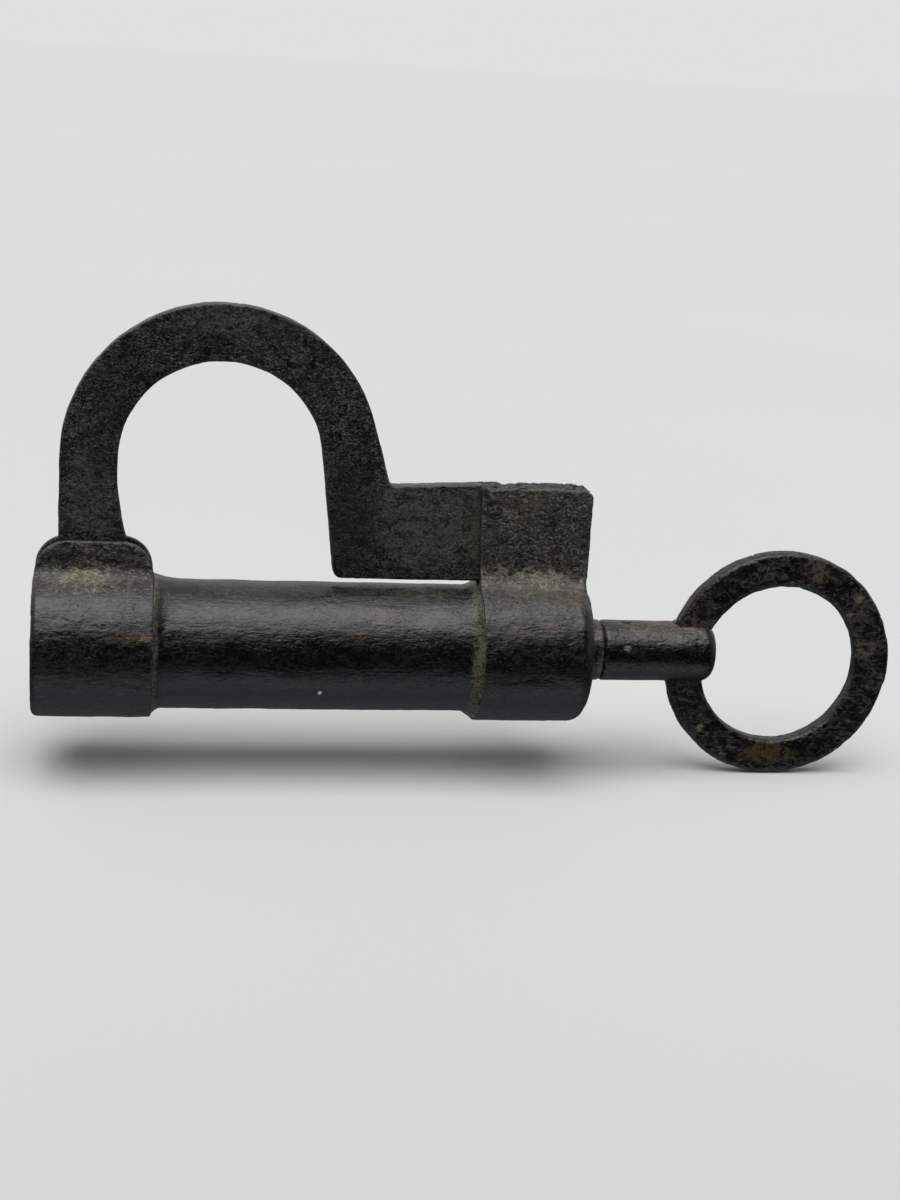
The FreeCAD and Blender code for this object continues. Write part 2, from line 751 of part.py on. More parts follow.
def key_ring(name, gap):
    """The flat ring, its section rounded at the corners; gap makes it that much fatter all round."""
    body = doc.addObject("PartDesign::Body", name)
    revolution = body.newObject("PartDesign::Revolution", name + "Turn")
    outer = f"Sizes.ring_outer_radius + {gap}"
    inner = f"Sizes.ring_inner_radius - {gap}"
    half = f"Sizes.ring_thickness / 2 + {gap}"
    corner = "Sizes.ring_round"
    sketch = draw_outline(
        body,
        "XY_Plane",
        [
            (f"{inner} + {corner}", f"-({half})"),
            (f"{outer} - {corner}", f"-({half})", corner, "left"),
            (outer, f"-({half}) + {corner}"),
            (outer, f"{half} - {corner}", corner, "left"),
            (f"{outer} - {corner}", half),
            (f"{inner} + {corner}", half, corner, "left"),
            (inner, f"{half} - {corner}"),
            (inner, f"-({half}) + {corner}", corner, "left"),
        ],
    )
    revolution.Profile = sketch
    revolution.ReferenceAxis = (sketch, ["V_Axis"])
    revolution.Angle = 360
    place_at(body, x="Places.ring_x", z="Places.ring_z")
    return body


parts["key_bow"] = key_ring("KeyBow", "0")
ring_seat = key_ring("RingSeat", "Sizes.fixed_gap")

stem_blank = turned(
    "StemBlank",
    [
        ("Places.stem_start", "0"),
        ("Places.stem_start", "Sizes.stem_radius - Sizes.stem_chamfer"),
        ("Places.stem_start + Sizes.stem_chamfer", "Sizes.stem_radius"),
        ("Places.stem_end - Sizes.stem_dome", "Sizes.stem_radius", "Sizes.stem_dome", "right"),
        ("Places.stem_end", "Sizes.stem_radius - Sizes.stem_dome"),
        ("Places.stem_end", "0"),
    ],
)
shank_socket = cylinder(
    "ShankSocket",
    "Places.thread_core + Sizes.fixed_gap",
    "Sizes.shank_seat + Sizes.cutter_margin",
    ALONG_X,
    "Places.stem_start - Sizes.cutter_margin",
    z=AXIS_Z,
)
shank_pin_x = "Places.stem_start + Sizes.shank_pin_inset"
shank_pin_low = "Places.axis_z - Sizes.stem_radius - Sizes.cutter_margin"
shank_pin_length = "2 * Sizes.stem_radius + 2 * Sizes.cutter_margin"
shank_drill = cylinder(
    "ShankDrill",
    "Sizes.shank_pin_radius + Sizes.fixed_gap",
    shank_pin_length,
    ALONG_Z,
    shank_pin_x,
    z=shank_pin_low,
)
parts["key_stem"] = cut("KeyStem", stem_blank, shank_socket, shank_drill, ring_seat)

shank_pin_blank = cylinder(
    "ShankPinBlank", "Sizes.shank_pin_radius", shank_pin_length, ALONG_Z, shank_pin_x, z=shank_pin_low
)
stem_envelope = cylinder(
    "StemEnvelope", "Sizes.stem_radius", "Sizes.stem_length", ALONG_X, "Places.stem_start", z=AXIS_Z
)
parts["key_shank_pin"] = overlap("KeyShankPin", shank_pin_blank, stem_envelope)

shank_blank = turned(
    "ShankBlank",
    [
        ("Places.key_tip", "0"),
        ("Places.key_tip", "Places.thread_core - Sizes.nose_tip_chamfer"),
        ("Places.key_tip + Sizes.nose_tip_chamfer", "Places.thread_core"),
        ("Places.thread_start - Sizes.thread_depth", "Places.thread_core"),
        ("Places.thread_start", "Places.thread_crest"),
        ("Places.thread_end - Sizes.thread_depth", "Places.thread_crest"),
        ("Places.thread_end", "Places.thread_core"),
        ("Places.stem_start + Sizes.shank_seat - Sizes.fixed_gap", "Places.thread_core"),
        ("Places.stem_start + Sizes.shank_seat - Sizes.fixed_gap", "0"),
    ],
)
parts["key_shank"] = cut("KeyShank", shank_blank, shank_drill)

braze_lumps = []
for side, sign in (("Upper", 1), ("Lower", -1)):
    edge_z = f"Places.axis_z + ({sign}) * Sizes.stem_radius"
    lump = doc.addObject("Part::Sphere", f"RingBraze{side}")
    lump.setExpression("Radius", "Sizes.ring_braze_radius")
    rim_x = f"Places.ring_x - sqrt(Sizes.ring_outer_radius^2 - ({edge_z} - Places.ring_z)^2)"
    place_at(lump, x=rim_x, z=edge_z)
    braze_lumps.append(lump)
parts["key_bow_braze"] = cut(
    "KeyBowBraze", joined("RingBrazeLumps", braze_lumps), stem_envelope, ring_seat
)


# ---- check and write ----

doc.recompute()
broken = [item.Name for item in doc.Objects if "Invalid" in item.State or "Error" in item.State]
if broken:
    raise RuntimeError(f"failed objects: {broken}")

os.makedirs("parts", exist_ok=True)
for label, piece in parts.items():
    piece.Label = label
    if piece.Shape.isNull() or not piece.Shape.isValid():
        raise RuntimeError(f"bad shape: {label}")
    print(f"{label:20s} solids {len(piece.Shape.Solids)} volume {piece.Shape.Volume:9.1f}")
    piece.Shape.exportStep(f"parts/{label}.step")
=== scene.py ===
"""The looks of a wrought-iron barrel padlock with a screw key.

Each visible piece is a worked copy of its CAD node: meshed evenly, its edges worn round, its faces
hammered and pitted. The brazing, the hinge pin's heads, the spring and the screw thread are drawn
here. Lengths are in metres.
"""
import math
import random

import bmesh
import bpy
from mathutils import Matrix, Vector


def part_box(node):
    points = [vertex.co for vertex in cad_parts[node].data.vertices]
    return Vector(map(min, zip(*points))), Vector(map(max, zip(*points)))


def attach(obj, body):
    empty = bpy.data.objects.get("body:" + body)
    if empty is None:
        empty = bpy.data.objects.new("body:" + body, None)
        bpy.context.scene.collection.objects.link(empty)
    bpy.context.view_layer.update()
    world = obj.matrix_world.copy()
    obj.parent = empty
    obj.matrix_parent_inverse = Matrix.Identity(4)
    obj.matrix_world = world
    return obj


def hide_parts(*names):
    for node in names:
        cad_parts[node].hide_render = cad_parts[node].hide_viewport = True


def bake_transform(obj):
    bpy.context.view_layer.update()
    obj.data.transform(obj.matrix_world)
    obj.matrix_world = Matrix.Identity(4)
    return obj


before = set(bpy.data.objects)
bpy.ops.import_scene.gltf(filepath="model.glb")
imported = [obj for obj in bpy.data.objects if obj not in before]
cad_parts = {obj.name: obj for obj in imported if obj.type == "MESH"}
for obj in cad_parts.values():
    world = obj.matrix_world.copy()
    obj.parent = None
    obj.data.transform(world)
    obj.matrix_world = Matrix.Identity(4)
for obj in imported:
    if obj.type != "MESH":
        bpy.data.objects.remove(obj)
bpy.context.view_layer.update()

MM = 0.001
KEEPER_LEAN = 0.9 * MM  # the keeper's top corner stands this far past its collar's edge


# ---- places taken from the frame ----

barrel_low, barrel_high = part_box("barrel_tube")
keeper_low, keeper_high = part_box("keeper_band")
hinge_low, hinge_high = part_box("hinge_band")
spring_low, spring_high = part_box("bolt_spring")
shank_low, shank_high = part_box("key_shank")
bush_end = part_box("key_bush")[1].x
stem_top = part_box("key_stem")[1].z

axis_z = (barrel_low.z + barrel_high.z) / 2
barrel_radius = (barrel_high.z - barrel_low.z) / 2
floor_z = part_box("key_bow")[0].z  # the key's ring rests on the floor


# ---- node helpers ----

def socket_of(sockets, key):
    """The socket in use under a name, or the one at a number."""
    if isinstance(key, int):
        return sockets[key]
    return next(socket for socket in sockets if socket.name == key and socket.enabled)


def feed_socket(tree, socket, value):
    """Sets a socket to a value, or links another node's socket to it."""
    if isinstance(value, bpy.types.NodeSocket):
        tree.links.new(value, socket)
    else:
        socket.default_value = value


def add_node(tree, kind, inputs=None, **settings):
    """One node. Its settings come first, because they decide which of its sockets are in use."""
    node = tree.nodes.new(kind)
    for name, value in settings.items():
        setattr(node, name, value)
    for key, value in (inputs or {}).items():
        feed_socket(tree, socket_of(node.inputs, key), value)
    return node


def calculate(tree, operation, *values, clamp=False):
    numbered = dict(enumerate(values))
    return add_node(tree, "ShaderNodeMath", numbered, operation=operation, use_clamp=clamp).outputs[0]


def vector_maths(tree, operation, *vectors):
    """The outcome of sums on vectors; a length or a dot product is a plain number."""
    output = "Value" if operation in ("LENGTH", "DOT_PRODUCT") else "Vector"
    numbered = dict(enumerate(vectors))
    return add_node(tree, "ShaderNodeVectorMath", numbered, operation=operation).outputs[output]


def scaled(tree, vector, factor):
    inputs = {0: vector, "Scale": factor}
    return add_node(tree, "ShaderNodeVectorMath", inputs, operation="SCALE").outputs["Vector"]


def drawn_out(tree, place, share):
    """Places squeezed along X to a share, so that a pattern on them is drawn out along the lock."""
    return add_node(tree, "ShaderNodeMapping", {"Vector": place, "Scale": (share, 1.0, 1.0)}).outputs[0]


def fade(tree, value, low, high, start=0.0, end=1.0):
    """A smooth rise from start to end while value goes from low to high."""
    inputs = {"Value": value, "From Min": low, "From Max": high, "To Min": start, "To Max": end}
    return add_node(tree, "ShaderNodeMapRange", inputs, interpolation_type="SMOOTHSTEP").outputs[0]


def blend_colours(tree, share, first, second):
    node = add_node(tree, "ShaderNodeMix", {0: share, 6: first, 7: second}, data_type="RGBA")
    return node.outputs[2]


def grain_noise(tree, vector, size, seed, detail=2.0, roughness=0.5):
    """Noise whose lumps are about size across. Another whole number as seed gives another pattern."""
    scale = calculate(tree, "DIVIDE", 1.0, size)
    inputs = {"Vector": vector, "W": seed, "Scale": scale, "Detail": detail, "Roughness": roughness}
    return add_node(tree, "ShaderNodeTexNoise", inputs, noise_dimensions="4D").outputs[0]


SOCKETS = {"float": "NodeSocketFloat", "vector": "NodeSocketVector", "colour": "NodeSocketColor",
           "geometry": "NodeSocketGeometry", "count": "NodeSocketInt", "material": "NodeSocketMaterial"}


def new_group(name, kind, inputs, outputs):
    """An empty node group with named sockets, and the sockets that feed its inside."""
    tree = bpy.data.node_groups.new(name, kind)
    for label, socket in inputs:
        tree.interface.new_socket(label, in_out="INPUT", socket_type=SOCKETS[socket])
    for label, socket in outputs:
        tree.interface.new_socket(label, in_out="OUTPUT", socket_type=SOCKETS[socket])
    feed = tree.nodes.new("NodeGroupInput")
    result = tree.nodes.new("NodeGroupOutput")
    return tree, feed.outputs, result.inputs


# ---- shader groups: what more than one finish uses ----

def make_patina():
    """Forge scale: a fine creased grain drawn out along the work, over clouds of warm and cool tone."""
    tree, feed, result = new_group(
        "patina", "ShaderNodeTree",
        [("Coordinates", "vector"), ("Seed", "float"), ("Dark", "colour"), ("Warm", "colour"),
         ("Cool", "colour"), ("Light", "colour"), ("Crease", "colour"), ("Rust", "colour"),
         ("Grain size", "float"), ("Cloud size", "float"), ("Rust share", "float")],
        [("Color", "colour"), ("Rusty", "float"), ("Height", "float")],
    )
    place = feed["Coordinates"]
    seed = feed["Seed"]
    grain_size = feed["Grain size"]
    cloud_size = feed["Cloud size"]
    sway_size = 2.4 * MM
    sway_reach = 1.6 * MM

    sway = add_node(tree, "ShaderNodeTexNoise", {"Vector": place, "Scale": 1 / sway_size, "Detail": 2.0})
    sway = vector_maths(tree, "SUBTRACT", sway.outputs["Color"], (0.5, 0.5, 0.5))
    swayed = vector_maths(tree, "MULTIPLY_ADD", sway, (sway_reach, sway_reach, sway_reach), place)
    drawn = drawn_out(tree, swayed, 0.5)
    fine = grain_noise(tree, drawn, grain_size, seed, 3.0, 0.65)
    strokes_size = calculate(tree, "MULTIPLY", grain_size, 4.0)
    strokes = grain_noise(tree, drawn, strokes_size, calculate(tree, "ADD", seed, 3.0), 3.0, 0.6)
    broad = grain_noise(tree, place, cloud_size, calculate(tree, "ADD", seed, 5.0), 3.0, 0.55)
    height = calculate(tree, "MULTIPLY_ADD", fine, 0.7, calculate(tree, "MULTIPLY", strokes, 0.3))
    patches = calculate(tree, "MULTIPLY_ADD", strokes, 0.55, calculate(tree, "MULTIPLY", broad, 0.45))
    patches = fade(tree, patches, 0.4, 0.56)

    # the scale's tone, dark in the dips of the grain and light on its tips; the light on the tips is partly
    # pale scale and partly painted glints, where rough scale would catch the overhead light
    tint_size = calculate(tree, "MULTIPLY", cloud_size, 1.7)
    tint = grain_noise(tree, place, tint_size, calculate(tree, "ADD", seed, 8.0), 4.0, 0.6)
    middle = blend_colours(tree, fade(tree, tint, 0.42, 0.58), feed["Cool"], feed["Warm"])
    thin = calculate(tree, "MULTIPLY_ADD", patches, 0.7, 0.3)
    colour = blend_colours(tree, thin, feed["Dark"], middle)
    dips = fade(tree, fine, 0.4, 0.5, 0.9, 0.0)
    colour = blend_colours(tree, dips, colour, feed["Dark"])
    # light on the grain's tips: pale scale, and painted glints
    pale_tips_and_glints = calculate(tree, "MULTIPLY", fade(tree, fine, 0.54, 0.62), fade(tree, patches, 0.0, 1.0, 0.45, 1.0))
    colour = blend_colours(tree, pale_tips_and_glints, colour, feed["Light"])

    # thin raised lines where two folds of scale meet
    folds_size = calculate(tree, "MULTIPLY", grain_size, 2.4)
    folds = grain_noise(tree, drawn, folds_size, calculate(tree, "ADD", seed, 14.0), 3.0, 0.6)
    crease = calculate(tree, "ABSOLUTE", calculate(tree, "SUBTRACT", folds, 0.5))
    crease = calculate(tree, "MULTIPLY", fade(tree, crease, 0.006, 0.026, 1.0, 0.0), patches)
    colour = blend_colours(tree, calculate(tree, "MULTIPLY", crease, 0.6), colour, feed["Crease"])
    height = calculate(tree, "MULTIPLY_ADD", crease, 0.12, height)

    rust_size = calculate(tree, "MULTIPLY", cloud_size, 0.6)
    rust_noise = grain_noise(tree, swayed, rust_size, calculate(tree, "ADD", seed, 11.0), 5.0, 0.66)
    rust_edge = calculate(tree, "SUBTRACT", 0.74, calculate(tree, "MULTIPLY", feed["Rust share"], 0.3))
    rusty = fade(tree, rust_noise, rust_edge, calculate(tree, "ADD", rust_edge, 0.14))
    colour = blend_colours(tree, calculate(tree, "MULTIPLY", rusty, 0.6), colour, feed["Rust"])
    tree.links.new(colour, result["Color"])
    tree.links.new(rusty, result["Rusty"])
    tree.links.new(height, result["Height"])
    return tree


def make_bare_specks():
    """Small bright specks in drifts, where the scale has chipped off the iron."""
    tree, feed, result = new_group(
        "bare_specks", "ShaderNodeTree",
        [("Coordinates", "vector"), ("Seed", "float"), ("Size", "float"), ("Share", "float")],
        [("Speck", "float")],
    )
    drawn = drawn_out(tree, feed["Coordinates"], 0.6)
    specks = grain_noise(tree, drawn, feed["Size"], feed["Seed"], 3.0, 0.6)
    drift_size = calculate(tree, "MULTIPLY", feed["Size"], 12.0)
    drift_seed = calculate(tree, "ADD", feed["Seed"], 3.0)
    drifts = fade(tree, grain_noise(tree, feed["Coordinates"], drift_size, drift_seed), 0.4, 0.7)
    edge = calculate(tree, "SUBTRACT", 0.7, calculate(tree, "MULTIPLY", feed["Share"], 0.12))
    edge = calculate(tree, "SUBTRACT", edge, calculate(tree, "MULTIPLY", drifts, 0.09))
    tree.links.new(fade(tree, specks, edge, calculate(tree, "ADD", edge, 0.1)), result["Speck"])
    return tree


def make_pitting():
    """Small round rust pits, scattered in drifts."""
    tree, feed, result = new_group(
        "pitting", "ShaderNodeTree",
        [("Coordinates", "vector"), ("Seed", "float"), ("Size", "float"), ("Share", "float")],
        [("Pit", "float")],
    )
    scale = calculate(tree, "DIVIDE", 1.0, feed["Size"])
    cells = add_node(tree, "ShaderNodeTexVoronoi",
                     {"Vector": feed["Coordinates"], "W": feed["Seed"], "Scale": scale},
                     voronoi_dimensions="4D", feature="F1")
    drift_size = calculate(tree, "MULTIPLY", feed["Size"], 7.0)
    drift = grain_noise(tree, feed["Coordinates"], drift_size, feed["Seed"], 3.0)
    reach = calculate(tree, "MULTIPLY", fade(tree, drift, 0.4, 0.7), feed["Share"])
    pit = fade(tree, cells.outputs["Distance"], calculate(tree, "MULTIPLY", reach, 0.35), reach, 1.0, 0.0)
    tree.links.new(pit, result["Pit"])
    return tree


def make_worn_edge():
    """Where hands and other iron have rubbed an edge; the edge comes from the mesh."""
    tree, feed, result = new_group(
        "worn_edge", "ShaderNodeTree",
        [("Coordinates", "vector"), ("Seed", "float"), ("Edge", "float"), ("Wear", "float")],
        [("Worn", "float")],
    )
    break_size = 1.3 * MM
    broken = grain_noise(tree, feed["Coordinates"], break_size, feed["Seed"], 4.0, 0.7)
    rubbed = calculate(tree, "MULTIPLY", feed["Edge"], fade(tree, broken, 0.36, 0.64))
    worn = calculate(tree, "MULTIPLY", rubbed, feed["Wear"], clamp=True)
    tree.links.new(worn, result["Worn"])
    return tree


def make_stain():
    """One ragged patch of another colour at a place on the piece."""
    tree, feed, result = new_group(
        "stain", "ShaderNodeTree",
        [("Coordinates", "vector"), ("Centre", "vector"), ("Half size", "vector"), ("Seed", "float")],
        [("Stained", "float")],
    )
    rag_size = 1.7 * MM
    away = vector_maths(tree, "SUBTRACT", feed["Coordinates"], feed["Centre"])
    reach = vector_maths(tree, "LENGTH", vector_maths(tree, "DIVIDE", away, feed["Half size"]))
    ragged = grain_noise(tree, feed["Coordinates"], rag_size, feed["Seed"], 5.0, 0.75)
    swayed = calculate(tree, "MULTIPLY_ADD", calculate(tree, "SUBTRACT", ragged, 0.5), 3.6, reach)
    tree.links.new(fade(tree, swayed, 0.3, 1.25, 1.0, 0.0), result["Stained"])
    return tree


def make_streaks():
    """The long fine ridges and shallow dints that filing and handling leave on a barrel."""
    tree, feed, result = new_group(
        "streaks", "ShaderNodeTree",
        [("Coordinates", "vector"), ("Seed", "float")],
        [("Height", "float")],
    )
    ridge_size = 0.55 * MM
    dint_size = 2.2 * MM
    patch_size = 9 * MM
    drawn = drawn_out(tree, feed["Coordinates"], 0.24)
    ridges = grain_noise(tree, drawn, ridge_size, feed["Seed"], 3.0, 0.6)
    dints = grain_noise(tree, drawn, dint_size, calculate(tree, "ADD", feed["Seed"], 4.0), 1.0)
    patches = grain_noise(tree, feed["Coordinates"], patch_size, calculate(tree, "ADD", feed["Seed"], 9.0))
    ridges = calculate(tree, "MULTIPLY", ridges, fade(tree, patches, 0.35, 0.65, 0.5, 1.3))
    tree.links.new(calculate(tree, "MULTIPLY_ADD", dints, 1.1, ridges), result["Height"])
    return tree


GROUPS = {
    "patina": make_patina(),
    "streaks": make_streaks(),
    "bare_specks": make_bare_specks(),
    "pitting": make_pitting(),
    "worn_edge": make_worn_edge(),
    "stain": make_stain(),
}


def use_group(tree, name, **inputs):
    """A node of one of the groups; an input's underscores stand for spaces."""
    node = tree.nodes.new("ShaderNodeGroup")
    node.node_tree = GROUPS[name]
    for key, value in inputs.items():
        feed_socket(tree, node.inputs[key.replace("_", " ")], value)
    return node.outputs


# ---- finishes ----

def tone(red, green, blue):
    return (red, green, blue, 1)


def millimetres(*values):
    return tuple(value * MM for value in values)


OCHRE = tone(0.045, 0.031, 0.005)
PALE_RUST = tone(0.12, 0.095, 0.055)
RUST_RED = tone(0.04, 0.014, 0.008)
BLACK = tone(0.0024, 0.0026, 0.0028)
BARE_IRON = tone(0.15, 0.15, 0.135)
HANDLED_IRON = tone(0.10, 0.096, 0.088)
CREASE = tone(0.07, 0.067, 0.056)


def iron_finish(name, warm, cool, light, dark=BLACK, rust=RUST_RED, grain_size=0.5, cloud=7.0,
                rust_share=0.35, specks=0.35, speck_size=0.4, speck_tone=BARE_IRON, pits=0.35,
                pit_size=0.8, pit_height=0.08, wear=0.6, worn_tone=HANDLED_IRON, dullness=0.24,
                grain=0.3, rub_height=0.0, streaks=0.0, seed=1.0, stains=()):
    """Old iron: scale, specks, pits and rubbed edges. Sizes and stains are in millimetres.

    Each stain is (centre, half size, colour, strength). Below rub_height, in metres, the iron is rubbed
    dark and streaked, and above it is left rough; with none it is rough all over.
    """
    material = bpy.data.materials.new(name)
    material.use_nodes = True
    tree = material.node_tree
    shader = tree.nodes["Principled BSDF"]
    place = add_node(tree, "ShaderNodeTexCoord").outputs["Object"]
    edge = add_node(tree, "ShaderNodeAttribute", attribute_name="edge").outputs["Fac"]
    hollow = add_node(tree, "ShaderNodeAttribute", attribute_name="hollow").outputs["Fac"]

    base = use_group(tree, "patina", Coordinates=place, Seed=seed, Dark=dark, Warm=warm, Cool=cool,
                     Light=light, Crease=CREASE, Rust=rust, Grain_size=grain_size * MM,
                     Cloud_size=cloud * MM, Rust_share=rust_share)
    speck = use_group(tree, "bare_specks", Coordinates=place, Seed=seed + 20, Size=speck_size * MM,
                      Share=specks)["Speck"]
    pit = use_group(tree, "pitting", Coordinates=place, Seed=seed + 40, Size=pit_size * MM, Share=pits)["Pit"]
    worn = use_group(tree, "worn_edge", Coordinates=place, Seed=seed + 60, Edge=edge, Wear=wear)["Worn"]

    colour = base["Color"]
    height = calculate(tree, "MULTIPLY", base["Height"], grain)
    if rub_height:
        wander_size = 5 * MM
        wander_reach = 6 * MM
        blur = 2 * MM
        z = add_node(tree, "ShaderNodeSeparateXYZ", {0: place}).outputs["Z"]
        wander = grain_noise(tree, place, wander_size, seed + 70, 3.0)
        z = calculate(tree, "MULTIPLY_ADD", calculate(tree, "SUBTRACT", wander, 0.5), wander_reach, z)
        rubbed = fade(tree, z, rub_height - blur, rub_height + blur, 1.0, 0.0)
        colour = blend_colours(tree, calculate(tree, "MULTIPLY", rubbed, 0.9), colour, BLACK)
        speck = calculate(tree, "MULTIPLY", speck, fade(tree, rubbed, 0.0, 1.0, 1.0, 0.35))
        ridges = use_group(tree, "streaks", Coordinates=place, Seed=seed + 30)["Height"]
        ridges = calculate(tree, "MULTIPLY", ridges, calculate(tree, "MULTIPLY", rubbed, streaks))
        height = calculate(tree, "MULTIPLY", height, fade(tree, rubbed, 0.0, 1.0, 1.0, 0.45))
        height = calculate(tree, "ADD", height, ridges)
    colour = blend_colours(tree, calculate(tree, "MULTIPLY", speck, 0.75), colour, speck_tone)
    raised = fade(tree, base["Height"], 0.42, 0.56)
    for number, (centre, half_size, stain_tone, strength) in enumerate(stains):
        patch = use_group(tree, "stain", Coordinates=place, Centre=millimetres(*centre),
                          Half_size=millimetres(*half_size), Seed=seed + 80 + number)
        share = calculate(tree, "MULTIPLY_ADD", raised, 0.85 * strength, 0.15 * strength)
        share = calculate(tree, "MULTIPLY", patch["Stained"], share, clamp=True)
        colour = blend_colours(tree, share, colour, stain_tone)
    colour = blend_colours(tree, calculate(tree, "MULTIPLY", pit, 0.5), colour, dark)
    colour = blend_colours(tree, calculate(tree, "MULTIPLY", hollow, 0.35), colour, dark)
    colour = blend_colours(tree, worn, colour, worn_tone)
    tree.links.new(colour, shader.inputs["Base Color"])

    dull = calculate(tree, "MULTIPLY_ADD", base["Rusty"], 0.2, dullness)
    dull = calculate(tree, "MULTIPLY_ADD", raised, 0.14, dull)
    if rub_height:
        dull = calculate(tree, "MULTIPLY_ADD", rubbed, -0.08, dull)
    dull = calculate(tree, "MULTIPLY_ADD", pit, 0.2, dull, clamp=True)
    tree.links.new(dull, shader.inputs["Roughness"])

    height = calculate(tree, "MULTIPLY_ADD", pit, -pit_height, height)
    bump = add_node(tree, "ShaderNodeBump", {"Height": height, "Distance": MM, "Strength": 1.0})
    tree.links.new(bump.outputs[0], shader.inputs["Normal"])
    return material


def shackle_finish():
    """Black scale with pale flecks, thinner and paler on the tail."""
    thin_scale = tone(0.006, 0.006, 0.0055)
    olive = tone(0.06, 0.058, 0.036)
    stains = [
        ((47.0, 0.0, -13.0), (17.0, 9.0, 14.0), tone(0.075, 0.072, 0.058), 0.75),
        ((57.0, -2.0, -14.0), (1.6, 1.2, 12.0), tone(0.06, 0.058, 0.04), 0.9),
        ((-28.0, -2.0, -10.0), (7.0, 9.0, 14.0), tone(0.06, 0.057, 0.047), 0.55),
        ((-31.5, -2.0, -21.0), (1.6, 1.2, 3.0), olive, 0.4),
        ((3.0, 0.0, 31.0), (18.0, 9.0, 5.0), tone(0.06, 0.056, 0.046), 0.55),
        ((28.0, 0.0, -12.0), (8.0, 9.0, 17.0), thin_scale, 0.75),
        ((-22.0, 0.0, 14.0), (9.0, 9.0, 13.0), thin_scale, 0.5),
    ]
    return iron_finish("shackle_iron", warm=tone(0.0052, 0.004, 0.0032), cool=tone(0.0035, 0.0039, 0.0037),
                       light=tone(0.1, 0.09, 0.068), grain_size=0.36, wear=0.8, dullness=0.13, seed=1.0,
                       stains=stains)


def band_finish():
    """Grey-brown scale with painted highlights along the bends, rubbed black below the top of the barrel."""
    stains = [
        ((69.6, -3.9, -5.0), (1.0, 1.2, 1.6), tone(0.12, 0.085, 0.04), 1.2),
        ((66.5, -3.9, -7.0), (5.0, 1.5, 1.3), tone(0.06, 0.036, 0.026), 0.5),
        # painted highlight: the keeper's bend foot made pale where the concave bend mirrors the overhead
        # light
        ((71.0, -7.0, -23.4), (14.0, 5.0, 2.7), tone(0.22, 0.212, 0.165), 1.15),
        ((78.0, -8.0, -26.5), (7.0, 6.0, 3.2), tone(0.085, 0.068, 0.042), 0.8),
        ((66.0, -8.0, -26.0), (9.0, 6.0, 2.4), tone(0.07, 0.066, 0.046), 0.7),
        ((71.0, -2.0, keeper_high.z / MM), (14.0, 6.0, 0.9), tone(0.045, 0.05, 0.041), 0.6),
        ((72.4, -13.5, -31.8), (2.6, 5.0, 1.6), tone(0.07, 0.036, 0.024), 0.6),
        ((65.0, -15.0, -33.0), (4.0, 6.0, 1.6), tone(0.05, 0.03, 0.02), 0.5),
        # painted highlight: the hinge ear's bend made pale olive-tan where it mirrors the overhead light
        ((-29.0, -8.0, -24.3), (10.0, 5.0, 2.8), tone(0.2, 0.185, 0.115), 1.15),
        ((-18.5, -15.4, -35.8), (6.0, 4.0, 0.9), tone(0.045, 0.03, 0.01), 0.9),
        ((-15.2, -15.4, -35.6), (2.0, 4.0, 0.7), tone(0.14, 0.1, 0.03), 0.9),
    ]
    return iron_finish("band_iron", warm=tone(0.03, 0.026, 0.019), cool=tone(0.019, 0.0205, 0.0195),
                       light=tone(0.17, 0.163, 0.132), dark=tone(0.004, 0.004, 0.0037), grain_size=0.36,
                       rub_height=barrel_high.z - MM, streaks=0.13, seed=2.0, stains=stains)


def barrel_finish():
    """Black iron rubbed and streaked along its length, with red rust and one chip."""
    stains = [
        ((36.0, -10.8, -31.6), (3.2, 4.0, 1.8), tone(0.055, 0.026, 0.018), 0.6),
        ((29.5, -13.0, -34.9), (2.6, 4.0, 1.4), tone(0.05, 0.024, 0.016), 0.6),
        ((47.0, -4.0, -27.6), (14.0, 5.0, 1.6), tone(0.045, 0.043, 0.031), 0.8),
        ((10.0, -4.0, -27.2), (20.0, 5.0, 1.4), tone(0.04, 0.039, 0.03), 0.7),
        ((22.6, -12.6, -48.5), (0.5, 2.0, 0.4), tone(0.6, 0.6, 0.56), 1.6),
    ]
    return rubbed_all_round("barrel_iron", 0.6, stains)


def braze_finish():
    """The barrel's black iron drawn over the brazing, with olive brass showing at each band's edge."""
    all_round = (60.0, 60.0)
    centre_z = axis_z / MM
    stains = [
        ((hinge_high.x / MM + 0.2, 0.0, centre_z), (0.9, *all_round), tone(0.07, 0.068, 0.046), 1.0),
        ((keeper_low.x / MM + 0.2, 0.0, centre_z), (1.7, *all_round), tone(0.09, 0.086, 0.058), 1.0),
    ]
    return rubbed_all_round("braze_brass", 0.0, stains)


def rubbed_all_round(name, wear, stains):
    """What the barrel and its brazing share: the same iron, rubbed to above the barrel's top."""
    return iron_finish(name, warm=tone(0.018, 0.015, 0.012), cool=tone(0.013, 0.0145, 0.0145),
                       light=tone(0.05, 0.048, 0.04), specks=0.2, pits=0.25, wear=wear, dullness=0.22,
                       rub_height=barrel_high.z + 10 * MM, streaks=0.14, seed=3.0, stains=stains)


